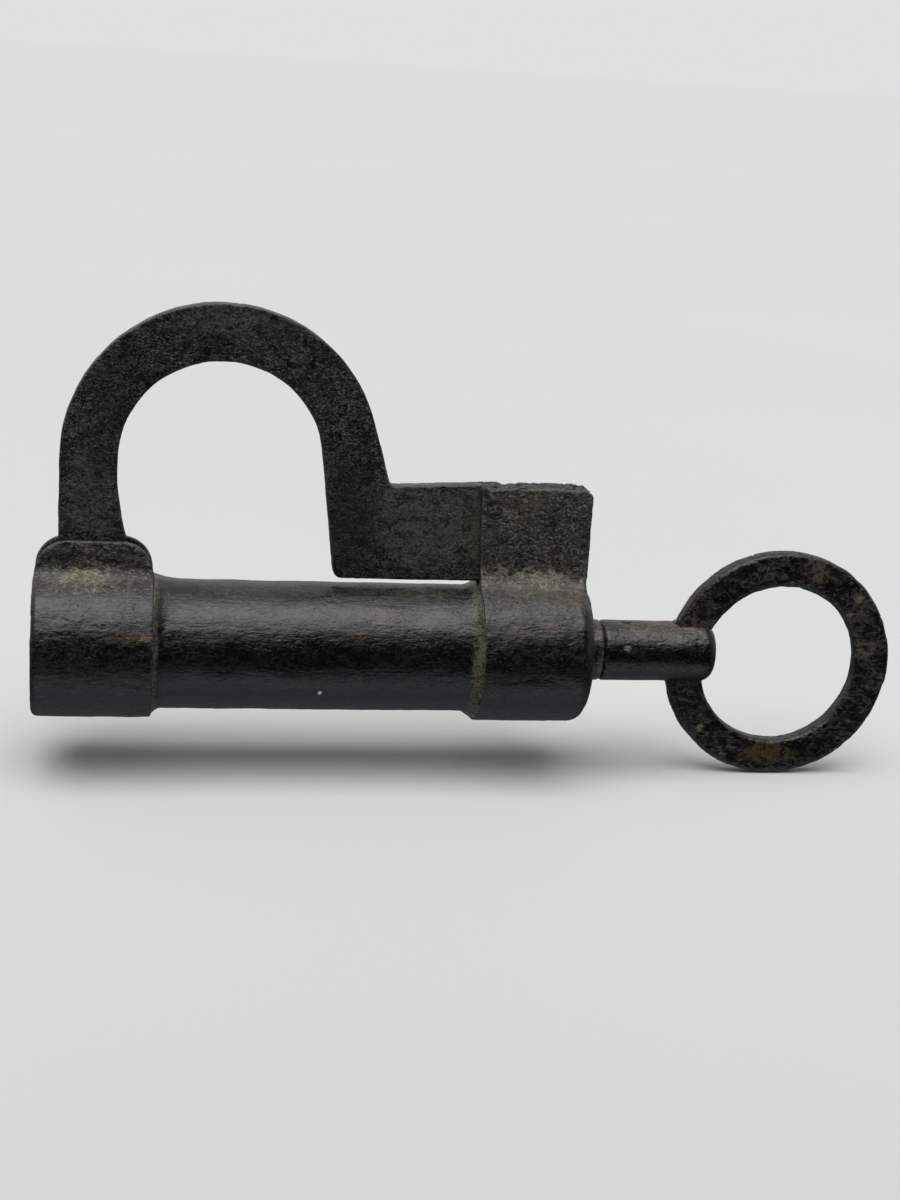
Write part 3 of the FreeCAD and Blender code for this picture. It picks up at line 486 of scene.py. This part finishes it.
def key_finish(name):
    """Brown iron on the key's stem and screw, on the neck and on the rivets."""
    stains = [
        # painted highlight along the top of the stem, in the iron's brown
        ((102.0, 0.0, -34.0), (15.0, 6.5, 2.4), tone(0.12, 0.105, 0.078), 0.75),
        ((109.0, -1.0, -34.4), (5.0, 5.0, 1.8), PALE_RUST, 1.2),
        ((100.0, -2.0, -35.5), (9.0, 6.0, 3.0), tone(0.07, 0.05, 0.036), 0.6),
        ((93.0, -6.5, -38.9), (0.8, 2.0, 0.7), tone(0.2, 0.2, 0.18), 0.8),
        ((bush_end / MM - 0.6, 0.0, axis_z / MM), (1.2, 30.0, 30.0), tone(0.085, 0.08, 0.058), 0.9),
    ]
    return iron_finish(name, warm=tone(0.03, 0.021, 0.0145), cool=tone(0.018, 0.0175, 0.016),
                       light=tone(0.07, 0.06, 0.048), grain_size=0.42, specks=0.4, rub_height=stem_top,
                       streaks=0.13, seed=4.0, stains=stains)


def ring_finish():
    """Black pitted iron with patches of ochre and spots of pale rust."""
    stains = [
        ((129.1, -2.4, -65.4), (6.6, 1.5, 2.8), OCHRE, 1.6),
        ((114.6, -2.4, -22.2), (1.5, 1.5, 1.6), OCHRE, 1.3),
        ((137.7, -2.4, -20.9), (3.4, 2.0, 2.8), tone(0.06, 0.047, 0.034), 1.3),
        ((151.6, -2.4, -39.7), (2.6, 2.0, 2.6), tone(0.065, 0.057, 0.042), 1.2),
        ((149.0, -2.4, -30.5), (3.4, 2.0, 6.0), tone(0.05, 0.046, 0.036), 0.6),
        ((148.6, -2.4, -27.4), (1.1, 1.5, 1.1), PALE_RUST, 1.6),
        ((146.6, -2.4, -31.4), (0.7, 1.5, 0.7), PALE_RUST, 1.0),
        ((113.4, -2.4, -59.4), (1.1, 1.5, 1.1), PALE_RUST, 1.8),
        ((113.0, -2.4, -56.2), (0.7, 1.5, 0.7), PALE_RUST, 1.0),
        ((111.0, 0.0, -36.5), (5.0, 6.0, 4.5), tone(0.075, 0.06, 0.042), 0.8),
    ]
    return iron_finish("key_ring_iron", warm=tone(0.0065, 0.0036, 0.003), cool=tone(0.0032, 0.0035, 0.0033),
                       light=tone(0.027, 0.023, 0.019), rust=tone(0.02, 0.007, 0.006), rust_share=0.5,
                       grain_size=0.8, cloud=4.5, specks=0.7, speck_size=0.85,
                       speck_tone=tone(0.075, 0.065, 0.05), pits=0.5, pit_size=1.2, pit_height=0.12,
                       wear=0.6, worn_tone=tone(0.036, 0.034, 0.03), seed=5.0, stains=stains)


def inner_finish():
    """Duller, browner iron on the end plates and the bolt."""
    return iron_finish("inner_iron", warm=tone(0.05, 0.042, 0.034), cool=tone(0.035, 0.037, 0.036),
                       light=tone(0.09, 0.085, 0.075), dark=tone(0.015, 0.015, 0.014), rust_share=0.5,
                       seed=7.0)


def spring_finish():
    """Smooth drawn wire."""
    return iron_finish("spring_steel", warm=tone(0.06, 0.056, 0.05), cool=tone(0.05, 0.052, 0.054),
                       light=tone(0.12, 0.118, 0.112), dark=tone(0.03, 0.03, 0.03), grain=0.02, seed=8.0)


finishes = {
    "shackle_iron": shackle_finish(),
    "band_iron": band_finish(),
    "barrel_iron": barrel_finish(),
    "key_iron": key_finish("key_iron"),
    "key_ring_iron": ring_finish(),
    "rivet_iron": key_finish("rivet_iron"),
    "inner_iron": inner_finish(),
    "spring_steel": spring_finish(),
    "braze_brass": braze_finish(),
}


# ---- the forge: an evenly meshed, worn and hammered copy of a CAD node ----

def finish_tree(tree, feed, result, geometry):
    """Ends a geometry tree: its instances made real, in the material that it is given."""
    real = add_node(tree, "GeometryNodeRealizeInstances", {"Geometry": geometry}).outputs[0]
    dressed = add_node(tree, "GeometryNodeSetMaterial", {"Geometry": real, "Material": feed["Material"]})
    tree.links.new(dressed.outputs[0], result["Geometry"])


def even_out_neck(tree, feed):
    """The mesh with its bend round the neck swept smooth."""
    spot = add_node(tree, "GeometryNodeInputPosition").outputs[0]
    from_neck = vector_maths(tree, "DIVIDE", vector_maths(tree, "SUBTRACT", spot, feed["Neck"]),
                             feed["Neck reach"])
    near = fade(tree, vector_maths(tree, "LENGTH", from_neck), 0.55, 1.0, 1.0, 0.0)
    evened = add_node(tree, "GeometryNodeBlurAttribute", {"Value": spot, "Iterations": 24, "Weight": near},
                      data_type="FLOAT_VECTOR").outputs[0]
    return add_node(tree, "GeometryNodeSetPosition",
                    {"Geometry": feed["Geometry"], "Position": evened}).outputs[0]


def mark_edges(tree, feed, geometry, place, normal):
    """Marks how far each point stands proud of its neighbours as edge, or lies below them as hollow."""
    softened = add_node(tree, "GeometryNodeBlurAttribute", {"Value": place, "Iterations": 12},
                        data_type="FLOAT_VECTOR").outputs[0]
    proud = vector_maths(tree, "DOT_PRODUCT", vector_maths(tree, "SUBTRACT", place, softened), normal)
    slight = calculate(tree, "MULTIPLY", feed["Edge depth"], 0.25)
    for label, height in (("edge", proud), ("hollow", calculate(tree, "MULTIPLY", proud, -1.0))):
        geometry = add_node(tree, "GeometryNodeStoreNamedAttribute",
                            {"Geometry": geometry, "Name": label,
                             "Value": fade(tree, height, slight, feed["Edge depth"])},
                            data_type="FLOAT", domain="POINT").outputs[0]
    return geometry


def sink_surface(tree, feed, place, normal):
    """How hammer blows, flaked scale and rust pits move each point inwards."""
    seed = feed["Seed"]
    blows = grain_noise(tree, place, feed["Hammer size"], seed, 1.0)
    flakes = grain_noise(tree, place, feed["Scale size"], calculate(tree, "ADD", seed, 7.0))
    rust = grain_noise(tree, place, feed["Pit size"], calculate(tree, "ADD", seed, 13.0))
    pits = fade(tree, rust, feed["Pit edge"], calculate(tree, "ADD", feed["Pit edge"], 0.12))
    depth = calculate(tree, "MULTIPLY", fade(tree, blows, 0.3, 0.7), feed["Hammer depth"])
    depth = calculate(tree, "MULTIPLY_ADD", fade(tree, flakes, 0.3, 0.7), feed["Scale depth"], depth)
    depth = calculate(tree, "MULTIPLY_ADD", pits, feed["Pit depth"], depth)
    return scaled(tree, normal, calculate(tree, "MULTIPLY", depth, -1.0))


def batter_top(tree, feed, place):
    """How blows from above have driven down the points of a top edge."""
    axes = add_node(tree, "ShaderNodeSeparateXYZ", {0: place}).outputs
    foot = calculate(tree, "SUBTRACT", feed["Batter height"], 1.2 * MM)
    above = fade(tree, axes["Z"], foot, feed["Batter height"])
    before = calculate(tree, "SUBTRACT", feed["Batter start"], MM)
    beyond = fade(tree, axes["X"], before, feed["Batter start"])
    seed = calculate(tree, "ADD", feed["Seed"], 19.0)
    bruises = fade(tree, grain_noise(tree, place, feed["Batter size"], seed, 3.0, 0.6), 0.38, 0.66)
    fall = calculate(tree, "MULTIPLY", bruises, feed["Batter depth"])
    fall = calculate(tree, "MULTIPLY", fall, calculate(tree, "MULTIPLY", above, beyond))
    return add_node(tree, "ShaderNodeCombineXYZ", {"Z": calculate(tree, "MULTIPLY", fall, -1.0)}).outputs[0]


def make_forge():
    """Sinks a mesh's surface as hammer, scale and rust do, and marks its edges and hollows."""
    tree, feed, result = new_group(
        "forged_surface", "GeometryNodeTree",
        [("Geometry", "geometry"), ("Seed", "float"), ("Hammer size", "float"), ("Hammer depth", "float"),
         ("Scale size", "float"), ("Scale depth", "float"), ("Pit size", "float"), ("Pit depth", "float"),
         ("Pit edge", "float"), ("Edge depth", "float"), ("Batter height", "float"),
         ("Batter start", "float"), ("Batter size", "float"), ("Batter depth", "float"),
         ("Neck", "vector"), ("Neck reach", "vector"), ("Material", "material")],
        [("Geometry", "geometry")],
    )
    swept = even_out_neck(tree, feed)
    place = add_node(tree, "GeometryNodeInputPosition").outputs[0]
    normal = add_node(tree, "GeometryNodeInputNormal").outputs[0]
    marked = mark_edges(tree, feed, swept, place, normal)
    offset = vector_maths(tree, "ADD", sink_surface(tree, feed, place, normal), batter_top(tree, feed, place))
    moved = add_node(tree, "GeometryNodeSetPosition", {"Geometry": marked, "Offset": offset}).outputs[0]
    finish_tree(tree, feed, result, moved)
    return tree


forge = make_forge()


def add_piece(name, mesh=None):
    """A new object in the scene, empty unless it is given a mesh."""
    piece = bpy.data.objects.new(name, mesh or bpy.data.meshes.new(name))
    bpy.context.scene.collection.objects.link(piece)
    return piece


def merged_copy(name, node):
    """A closed copy of a CAD node's mesh, its loose triangles joined."""
    piece = add_piece(name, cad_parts[node].data.copy())
    mesh = bmesh.new()
    mesh.from_mesh(piece.data)
    bmesh.ops.remove_doubles(mesh, verts=mesh.verts, dist=0.002 * MM)
    mesh.to_mesh(piece.data)
    mesh.free()
    return piece


def settle(piece, material):
    """Makes the result of a piece's modifiers its plain mesh, in one material."""
    graph = bpy.context.evaluated_depsgraph_get()
    mesh = bpy.data.meshes.new_from_object(piece.evaluated_get(graph))
    piece.modifiers.clear()
    piece.data = mesh
    mesh.materials.clear()
    mesh.materials.append(material)
    mesh.shade_smooth()
    return piece


def run_tree(piece, name, tree, values):
    """Adds a geometry tree to a piece, each named input set through its identifier."""
    modifier = piece.modifiers.new(name, "NODES")
    modifier.node_group = tree
    inputs = [item for item in tree.interface.items_tree if item.in_out == "INPUT"]
    ids = {item.name: item.identifier for item in inputs}
    for label, value in values.items():
        modifier[ids[label]] = value


LEVEL = {"Hammer size": 7 * MM, "Hammer depth": 0.16 * MM, "Scale size": 1.5 * MM, "Scale depth": 0.05 * MM,
         "Pit size": 1.3 * MM, "Pit depth": 0.08 * MM, "Pit edge": 0.56, "Edge depth": 0.4 * MM,
         "Batter height": 1.0, "Batter start": 1.0, "Batter size": 2.5 * MM, "Batter depth": 0.0,
         "Neck": (0.0, 0.0, 1.0), "Neck reach": (MM, MM, MM)}


def forged(node, body, slot, cell, rounding, seed, **changes):
    """The worked copy of one CAD node.

    cell is the size of its mesh in millimetres, and rounding is how many passes wear its edges. An
    input of the forge that isn't among the changes is as in LEVEL; underscores stand for spaces.
    """
    piece = merged_copy(f"{node}_worked", node)
    remesh = piece.modifiers.new("even_mesh", "REMESH")
    remesh.mode = "VOXEL"
    remesh.voxel_size = cell * MM
    smooth = piece.modifiers.new("worn_edges", "SMOOTH")
    smooth.factor = 0.5
    smooth.iterations = rounding
    values = {label.replace("_", " "): value for label, value in changes.items()}
    run_tree(piece, "forge", forge, {**LEVEL, **values, "Seed": float(seed), "Material": finishes[slot]})
    settle(piece, finishes[slot])
    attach(piece, body)
    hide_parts(node)
    return piece


keeper_top = {"Batter_height": keeper_high.z, "Batter_start": keeper_low.x + MM, "Batter_depth": 0.7 * MM}

forged("shackle", "shackle", "shackle_iron", 0.34, 14, 1, **keeper_top)
forged("hinge_band", "casing", "band_iron", 0.36, 5, 2,
       Neck=((hinge_low.x + hinge_high.x) / 2, 0.0, barrel_high.z + 0.9 * MM),
       Neck_reach=(14 * MM, 20 * MM, 3.8 * MM))
forged("keeper_band", "casing", "band_iron", 0.36, 4, 3, Neck=(keeper_high.x - 1.5 * MM, 0.0, barrel_high.z),
       Neck_reach=(4.5 * MM, 11 * MM, 4.0 * MM), **keeper_top)
forged("barrel_tube", "casing", "barrel_iron", 0.5, 4, 4, Hammer_size=10 * MM, Scale_depth=0.03 * MM,
       Pit_depth=0.04 * MM)
forged("key_bow", "key", "key_ring_iron", 0.27, 5, 5, Hammer_size=5 * MM, Hammer_depth=0.22 * MM,
       Pit_depth=0.18 * MM)
forged("key_stem", "key", "key_iron", 0.27, 4, 6, Hammer_depth=0.1 * MM, Scale_depth=0.03 * MM)
forged("key_bush", "casing", "key_iron", 0.25, 2, 7, Hammer_depth=0.06 * MM, Scale_depth=0.02 * MM)
forged("keeper_end_web", "casing", "band_iron", 0.3, 4, 8, **keeper_top)
forged("hinge_end_plug", "casing", "inner_iron", 0.35, 3, 10)
forged("key_end_plate", "casing", "inner_iron", 0.35, 3, 11)
forged("plug_pins", "casing", "rivet_iron", 0.2, 2, 12, Hammer_depth=0.04 * MM)
forged("guide_plate_pins", "casing", "rivet_iron", 0.2, 2, 13, Hammer_depth=0.04 * MM)


def make_key_beads():
    """The two beads that braze the ring to the stem, drawn into their corners above and below."""
    beads = forged("key_bow_braze", "key", "key_iron", 0.15, 20, 16, Hammer_size=2.5 * MM,
                   Hammer_depth=0.2 * MM)
    low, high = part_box("key_bow_braze")
    shrink = 0.6
    corner_x = (low.x + high.x) / 2 + 0.8 * MM
    corner_depth = 2.4 * MM
    for vertex in beads.data.vertices:
        corner_z = low.z + corner_depth if vertex.co.z < axis_z else high.z - corner_depth
        corner = Vector((corner_x, 0.0, corner_z))
        vertex.co = corner + (vertex.co - corner) * shrink


make_key_beads()


# ---- the brazed joints and the rivet's filed heads ----

def wavy(angle, waves):
    """A smooth uneven value round a ring: each wave is (count, height, start)."""
    return sum(height * math.sin(count * angle + start) for count, height, start in waves)


def random_waves(rng, counts, height):
    return [(count, height * rng.uniform(0.4, 1.0), rng.uniform(0, 2 * math.pi)) for count in counts]


def circle(around):
    return [2 * math.pi * number / around for number in range(around)]


def skin_rows(piece, rows, closed):
    """A closed skin over rings of points, each joined to the next.

    The last ring is joined to the first if it is closed, and the end rings are filled if not.
    """
    mesh = bmesh.new()
    rings = [[mesh.verts.new(point) for point in row] for row in rows]
    pairs = list(zip(rings, rings[1:] + rings[:1])) if closed else list(zip(rings, rings[1:]))
    for here, after in pairs:
        for step in range(len(here)):
            later = (step + 1) % len(here)
            mesh.faces.new((here[step], here[later], after[later], after[step]))
    if not closed:
        mesh.faces.new(rings[0])
        mesh.faces.new(rings[-1])
    bmesh.ops.recalc_face_normals(mesh, faces=mesh.faces)
    mesh.to_mesh(piece.data)
    mesh.free()


def round_ring(angle, top, front, bottom):
    """A value that passes smoothly from top through front to bottom round the barrel."""
    lift = math.sin(angle)
    return front + (top - front) * max(lift, 0.0) ** 3 + (bottom - front) * max(-lift, 0.0) ** 3


def make_flare(node, edge_x, side, widths, rises, hollows, seed):
    """Brazing metal drawn round the barrel into the angle at a band's edge, uneven.

    widths, rises and hollows each give a value at the top, the front and the bottom of the barrel.
    """
    rng = random.Random(seed)
    reach_waves = random_waves(rng, (1, 2, 3, 5, 9), 0.1)
    rise_waves = random_waves(rng, (2, 5, 9, 17, 26), 0.04)
    turn = circle(420)
    steps = 14
    lap = 0.2 * MM
    run_out = 0.2 * MM
    foot = 0.5 * MM
    rows = []
    for step in range(steps + 1):
        share = step / steps
        row = []
        for angle in turn:
            reach = round_ring(angle, *widths) * (1 + wavy(angle, reach_waves))
            rise = round_ring(angle, *rises) * (1 + wavy(angle, rise_waves))
            height = rise * (1 - share) ** round_ring(angle, *hollows) - run_out * share ** 3
            radius = barrel_radius + height
            x = edge_x + side * (reach * share - lap)
            row.append((x, radius * math.cos(angle), axis_z + radius * math.sin(angle)))
        rows.append(row)
    buried = barrel_radius - foot
    for x in (edge_x + side * foot, edge_x - side * lap):
        rows.append([(x, buried * math.cos(angle), axis_z + buried * math.sin(angle)) for angle in turn])
    piece = add_piece(f"{node}_flare")
    skin_rows(piece, rows, closed=True)
    piece.data.materials.append(finishes["braze_brass"])
    piece.data.shade_smooth()
    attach(piece, "casing")
    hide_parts(node)


make_flare("hinge_band_braze", hinge_high.x, 1, millimetres(10.0, 3.4, 1.6), millimetres(1.15, 1.5, 1.35),
           (2.8, 3.6, 1.6), 14)
make_flare("keeper_band_braze", keeper_low.x + KEEPER_LEAN, -1, millimetres(4.5, 2.8, 2.7),
           millimetres(1.0, 1.75, 1.75), (2.2, 2.4, 1.1), 15)


def make_filed_rivet():
    """The hinge pin, its heads spread into the ears and filed flush with them."""
    pin_low, pin_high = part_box("hinge_pin")
    centre = (pin_low + pin_high) / 2
    outer = (pin_high.y - pin_low.y) / 2
    shank = (pin_high.z - pin_low.z) / 2
    head_depth = 0.9 * MM
    swell = 0.01 * MM
    spread = 3.3 * MM
    dip = 0.36 * MM
    middle = 0.02 * MM
    steps = 10
    profile = [(shank, outer - head_depth)]
    for step in range(steps + 1):
        share = 1 - step / steps
        profile.append((spread * share + middle, outer + swell - dip * share ** 4))
    rows = []
    for radius, y in [(radius, -y) for radius, y in reversed(profile)] + profile:
        rows.append([(centre.x + radius * math.cos(angle), y, centre.z + radius * math.sin(angle))
                     for angle in circle(64)])
    piece = add_piece("hinge_pin_filed")
    skin_rows(piece, rows, closed=False)
    piece.data.materials.append(finishes["band_iron"])
    piece.data.shade_smooth()
    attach(piece, "casing")
    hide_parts("hinge_pin")


make_filed_rivet()


# ---- the CAD nodes that keep their own shape, inside the lock or flush with it ----

for node, slot in (("bolt_guide_plate", "inner_iron"), ("bolt_piston", "inner_iron"),
                   ("bolt_nose", "inner_iron"), ("bolt_thrust_stud", "inner_iron"),
                   ("key_shank_pin", "rivet_iron")):
    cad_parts[node].material_slots[0].material = finishes[slot]


# ---- the spring and the screw thread ----

def make_coil():
    """A compression spring along X with a closed coil at each end."""
    tree, feed, result = new_group(
        "closed_end_coil", "GeometryNodeTree",
        [("Start", "vector"), ("Length", "float"), ("Mean radius", "float"), ("Wire radius", "float"),
         ("Turns", "float"), ("Steps", "count"), ("Material", "material")],
        [("Geometry", "geometry")],
    )
    wire = calculate(tree, "MULTIPLY", feed["Wire radius"], 2.0)
    line = add_node(tree, "GeometryNodeCurvePrimitiveLine", {"End": (1.0, 0.0, 0.0)}).outputs[0]
    line = add_node(tree, "GeometryNodeResampleCurve", {"Curve": line, "Count": feed["Steps"]}).outputs[0]
    share = add_node(tree, "GeometryNodeSplineParameter").outputs["Factor"]
    end = calculate(tree, "DIVIDE", 1.0, feed["Turns"])
    far = calculate(tree, "SUBTRACT", 1.0, end)
    open_length = calculate(tree, "SUBTRACT", feed["Length"], calculate(tree, "MULTIPLY", wire, 3.0))
    along = feed["Wire radius"]
    for low, high, rise in ((0.0, end, wire), (end, far, open_length), (far, 1.0, wire)):
        inputs = {"Value": share, "From Min": low, "From Max": high, "To Min": 0.0, "To Max": rise}
        along = calculate(tree, "ADD", along, add_node(tree, "ShaderNodeMapRange", inputs).outputs[0])
    turned = calculate(tree, "MULTIPLY", calculate(tree, "MULTIPLY", share, feed["Turns"]), 2 * math.pi)
    across = calculate(tree, "MULTIPLY", calculate(tree, "COSINE", turned), feed["Mean radius"])
    up = calculate(tree, "MULTIPLY", calculate(tree, "SINE", turned), feed["Mean radius"])
    spot = add_node(tree, "ShaderNodeCombineXYZ", {"X": along, "Y": across, "Z": up}).outputs[0]
    spot = vector_maths(tree, "ADD", spot, feed["Start"])
    helix = add_node(tree, "GeometryNodeSetPosition", {"Geometry": line, "Position": spot}).outputs[0]
    section = add_node(tree, "GeometryNodeCurvePrimitiveCircle",
                       {"Resolution": 12, "Radius": feed["Wire radius"]}).outputs[0]
    coil = add_node(tree, "GeometryNodeCurveToMesh",
                    {"Curve": helix, "Profile Curve": section, "Fill Caps": True}).outputs[0]
    finish_tree(tree, feed, result, coil)
    return tree


def make_spring():
    """The bolt's spring as a coil of one length; the real spring shortens as the bolt is drawn back."""
    outer = (spring_high.z - spring_low.z) / 2
    wire_radius = 0.8 * MM
    piece = add_piece("bolt_spring_coil")
    run_tree(piece, "coil", make_coil(), {
        "Start": (spring_low.x, 0.0, (spring_low.z + spring_high.z) / 2),
        "Length": spring_high.x - spring_low.x,
        "Mean radius": outer - wire_radius,
        "Wire radius": wire_radius,
        "Turns": 18.0,
        "Steps": 720,
        "Material": finishes["spring_steel"],
    })
    settle(piece, finishes["spring_steel"])
    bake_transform(piece)
    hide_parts("bolt_spring")


def make_threaded_rod():
    """A rod along X with a rounded thread cut on one stretch of it."""
    tree, feed, result = new_group(
        "threaded_rod", "GeometryNodeTree",
        [("Start", "vector"), ("Length", "float"), ("Core radius", "float"), ("Thread depth", "float"),
         ("Pitch", "float"), ("Thread start", "float"), ("Thread end", "float"), ("Rows", "count"),
         ("Material", "material")],
        [("Geometry", "geometry")],
    )
    rod = add_node(tree, "GeometryNodeMeshCylinder",
                   {"Vertices": 64, "Side Segments": feed["Rows"], "Radius": feed["Core radius"],
                    "Depth": feed["Length"]}, fill_type="NGON").outputs["Mesh"]
    half_length = calculate(tree, "MULTIPLY", feed["Length"], 0.5)
    lift = add_node(tree, "ShaderNodeCombineXYZ", {"Z": half_length}).outputs[0]
    rod = add_node(tree, "GeometryNodeTransform", {"Geometry": rod, "Translation": lift}).outputs[0]
    lay_down = {"Geometry": rod, "Translation": feed["Start"], "Rotation": (0.0, math.pi / 2, 0.0)}
    rod = add_node(tree, "GeometryNodeTransform", lay_down).outputs[0]
    place = add_node(tree, "GeometryNodeInputPosition").outputs[0]
    local = vector_maths(tree, "SUBTRACT", place, feed["Start"])
    axes = add_node(tree, "ShaderNodeSeparateXYZ", {0: local}).outputs
    x_place = add_node(tree, "ShaderNodeSeparateXYZ", {0: place}).outputs["X"]
    angle = calculate(tree, "DIVIDE", calculate(tree, "ARCTAN2", axes["Z"], axes["Y"]), 2 * math.pi)
    turn = calculate(tree, "ADD", calculate(tree, "DIVIDE", axes["X"], feed["Pitch"]), angle)
    wave = calculate(tree, "ABSOLUTE", calculate(tree, "SUBTRACT", calculate(tree, "FRACT", turn), 0.5))
    ridge = fade(tree, wave, 0.14, 0.36, 1.0, 0.0)
    runs_in = fade(tree, x_place, feed["Thread start"], calculate(tree, "ADD", feed["Thread start"], MM))
    runs_out = fade(tree, x_place, calculate(tree, "SUBTRACT", feed["Thread end"], MM), feed["Thread end"],
                    1.0, 0.0)
    ridge = calculate(tree, "MULTIPLY", ridge, calculate(tree, "MULTIPLY", runs_in, runs_out))
    growth = calculate(tree, "DIVIDE", calculate(tree, "MULTIPLY", ridge, feed["Thread depth"]),
                       feed["Core radius"])
    across = add_node(tree, "ShaderNodeCombineXYZ", {"Y": axes["Y"], "Z": axes["Z"]}).outputs[0]
    offset = scaled(tree, across, growth)
    cut = add_node(tree, "GeometryNodeSetPosition", {"Geometry": rod, "Offset": offset}).outputs[0]
    finish_tree(tree, feed, result, cut)
    return tree


def make_key_screw():
    """The key's shank: a thread on the stretch that runs through the neck, and a plain tip."""
    crest = (shank_high.z - shank_low.z) / 2
    depth = 0.9 * MM
    length = shank_high.x - shank_low.x
    thread_end = bush_end - 0.25 * MM
    thread_length = 16.5 * MM
    row_length = 0.16 * MM
    piece = add_piece("key_shank_screw")
    run_tree(piece, "thread", make_threaded_rod(), {
        "Start": (shank_low.x, 0.0, axis_z),
        "Length": length,
        "Core radius": crest - depth,
        "Thread depth": depth,
        "Pitch": 2.5 * MM,
        "Thread start": thread_end - thread_length,
        "Thread end": thread_end,
        "Rows": int(length / row_length),
        "Material": finishes["key_iron"],
    })
    settle(piece, finishes["key_iron"])
    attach(piece, "key")
    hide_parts("key_shank")


make_spring()
make_key_screw()


# ---- the studio ----

def make_floor():
    """A wide pale card, with painted shade that makes it a little darker towards the front."""
    half = 60.0
    floor = add_piece("floor")
    corners = [(x, y, floor_z) for x, y in ((-half, -half), (half, -half), (half, half), (-half, half))]
    floor.data.from_pydata(corners, [], [(0, 1, 2, 3)])
    material = bpy.data.materials.new("pale_card")
    material.use_nodes = True
    tree = material.node_tree
    shader = tree.nodes["Principled BSDF"]
    place = add_node(tree, "ShaderNodeTexCoord").outputs["Object"]
    cloud_size = 0.3
    painted_shade_start = -0.26
    painted_shade_end = 0.06
    cloud = grain_noise(tree, place, cloud_size, 1.0)
    pale = blend_colours(tree, cloud, tone(0.702, 0.724, 0.712), tone(0.731, 0.753, 0.739))
    # the painted shade: a darker tone for the card towards the front, standing in for the light falling off
    # there
    painted_shade_tone = blend_colours(tree, cloud, tone(0.64, 0.66, 0.647), tone(0.67, 0.69, 0.676))
    y = add_node(tree, "ShaderNodeSeparateXYZ", {0: place}).outputs["Y"]
    card = blend_colours(tree, fade(tree, y, painted_shade_start, painted_shade_end), painted_shade_tone, pale)
    tree.links.new(card, shader.inputs["Base Color"])
    shader.inputs["Roughness"].default_value = 0.6
    shader.inputs["Specular IOR Level"].default_value = 0.2
    floor.data.materials.append(material)
    floor.visible_glossy = False


def grey_ramp(tree, value, stops):
    """A grey that passes through (position, level) stops as value rises from 0 to 1."""
    node = add_node(tree, "ShaderNodeValToRGB", {0: value})
    elements = node.color_ramp.elements
    while len(elements) < len(stops):
        elements.new(1.0)
    for element, (position, level) in zip(elements, stops):
        element.position = position
        element.color = tone(level, level, level)
    return node.outputs[0]


def make_light_tent():
    """Pale all round, with a dark opening in front that the round parts mirror as a dark band.

    Mirrored light follows the height of its direction, from straight down at 0 to straight up at 1.
    """
    world = bpy.data.worlds.new("light_tent")
    bpy.context.scene.world = world
    world.use_nodes = True
    tree = world.node_tree
    tree.nodes.clear()
    direction = add_node(tree, "ShaderNodeTexCoord").outputs["Generated"]
    axes = add_node(tree, "ShaderNodeSeparateXYZ", {0: direction}).outputs
    height = calculate(tree, "MULTIPLY_ADD", axes["Z"], 0.5, 0.5)
    rays = add_node(tree, "ShaderNodeLightPath").outputs
    mirrored = grey_ramp(tree, height, [(0.0, 0.3), (0.05, 0.2), (0.2, 0.1), (0.42, 0.12), (0.5, 0.5),
                                        (0.56, 0.55), (0.72, 0.62), (0.95, 0.6), (1.0, 0.5)])
    front = grey_ramp(tree, height, [(0.0, 0.35), (0.07, 0.76), (0.145, 0.82), (0.2, 0.08), (0.27, 0.01),
                                     (0.62, 0.01), (0.8, 0.02), (0.9, 0.25), (1.0, 0.3)])
    back = blend_colours(tree, rays["Is Glossy Ray"], tone(0.3, 0.3, 0.3), mirrored)
    facing = fade(tree, calculate(tree, "MULTIPLY", axes["Y"], -1.0), 0.05, 0.55)
    light = blend_colours(tree, facing, back, front)
    hue = blend_colours(tree, fade(tree, height, 0.3, 0.5), tone(0.92, 1.04, 1.07), tone(0.96, 0.95, 0.915))
    light = add_node(tree, "ShaderNodeMix", {0: 1.0, 6: light, 7: hue}, data_type="RGBA",
                     blend_type="MULTIPLY").outputs[2]
    lit = add_node(tree, "ShaderNodeBackground", {"Color": light}).outputs[0]
    seen = add_node(tree, "ShaderNodeBackground", {"Color": tone(0.727, 0.749, 0.734)}).outputs[0]
    mixed = add_node(tree, "ShaderNodeMixShader", {0: rays["Is Camera Ray"], 1: lit, 2: seen}).outputs[0]
    add_node(tree, "ShaderNodeOutputWorld", {"Surface": mixed})


def make_overhead_light():
    """A broad soft light overhead, a little towards the front."""
    sun = bpy.data.lights.new("overhead", "SUN")
    sun.energy = 2.62
    sun.angle = math.radians(60)
    lamp = bpy.data.objects.new("overhead", sun)
    bpy.context.scene.collection.objects.link(lamp)
    lamp.rotation_euler = Vector((-0.1, -0.35, 1.0)).to_track_quat("Z", "Y").to_euler()


def make_camera():
    """Looks at the lock from the front and a little above, with a slight roll."""
    position = Vector(millimetres(-23.3, -429.8, 86.8))
    target = Vector(millimetres(52.46, 0.0, -30.15))
    roll = math.radians(3.71)
    forward = (target - position).normalized()
    level = forward.cross(Vector((0, 0, 1))).normalized()
    upright = level.cross(forward)
    right = level * math.cos(roll) + upright * math.sin(roll)
    up = upright * math.cos(roll) - level * math.sin(roll)
    lens = bpy.data.cameras.new("camera")
    lens.lens = 60
    lens.sensor_width = 36
    lens.clip_start = 0.01
    lens.clip_end = 200
    camera = bpy.data.objects.new("camera", lens)
    bpy.context.scene.collection.objects.link(camera)
    turn = Matrix((right, up, -forward)).transposed().to_4x4()
    camera.matrix_world = Matrix.Translation(position) @ turn
    bpy.context.scene.camera = camera


make_floor()
make_light_tent()
make_overhead_light()
make_camera()
bpy.context.scene.view_settings.view_transform = "Standard"
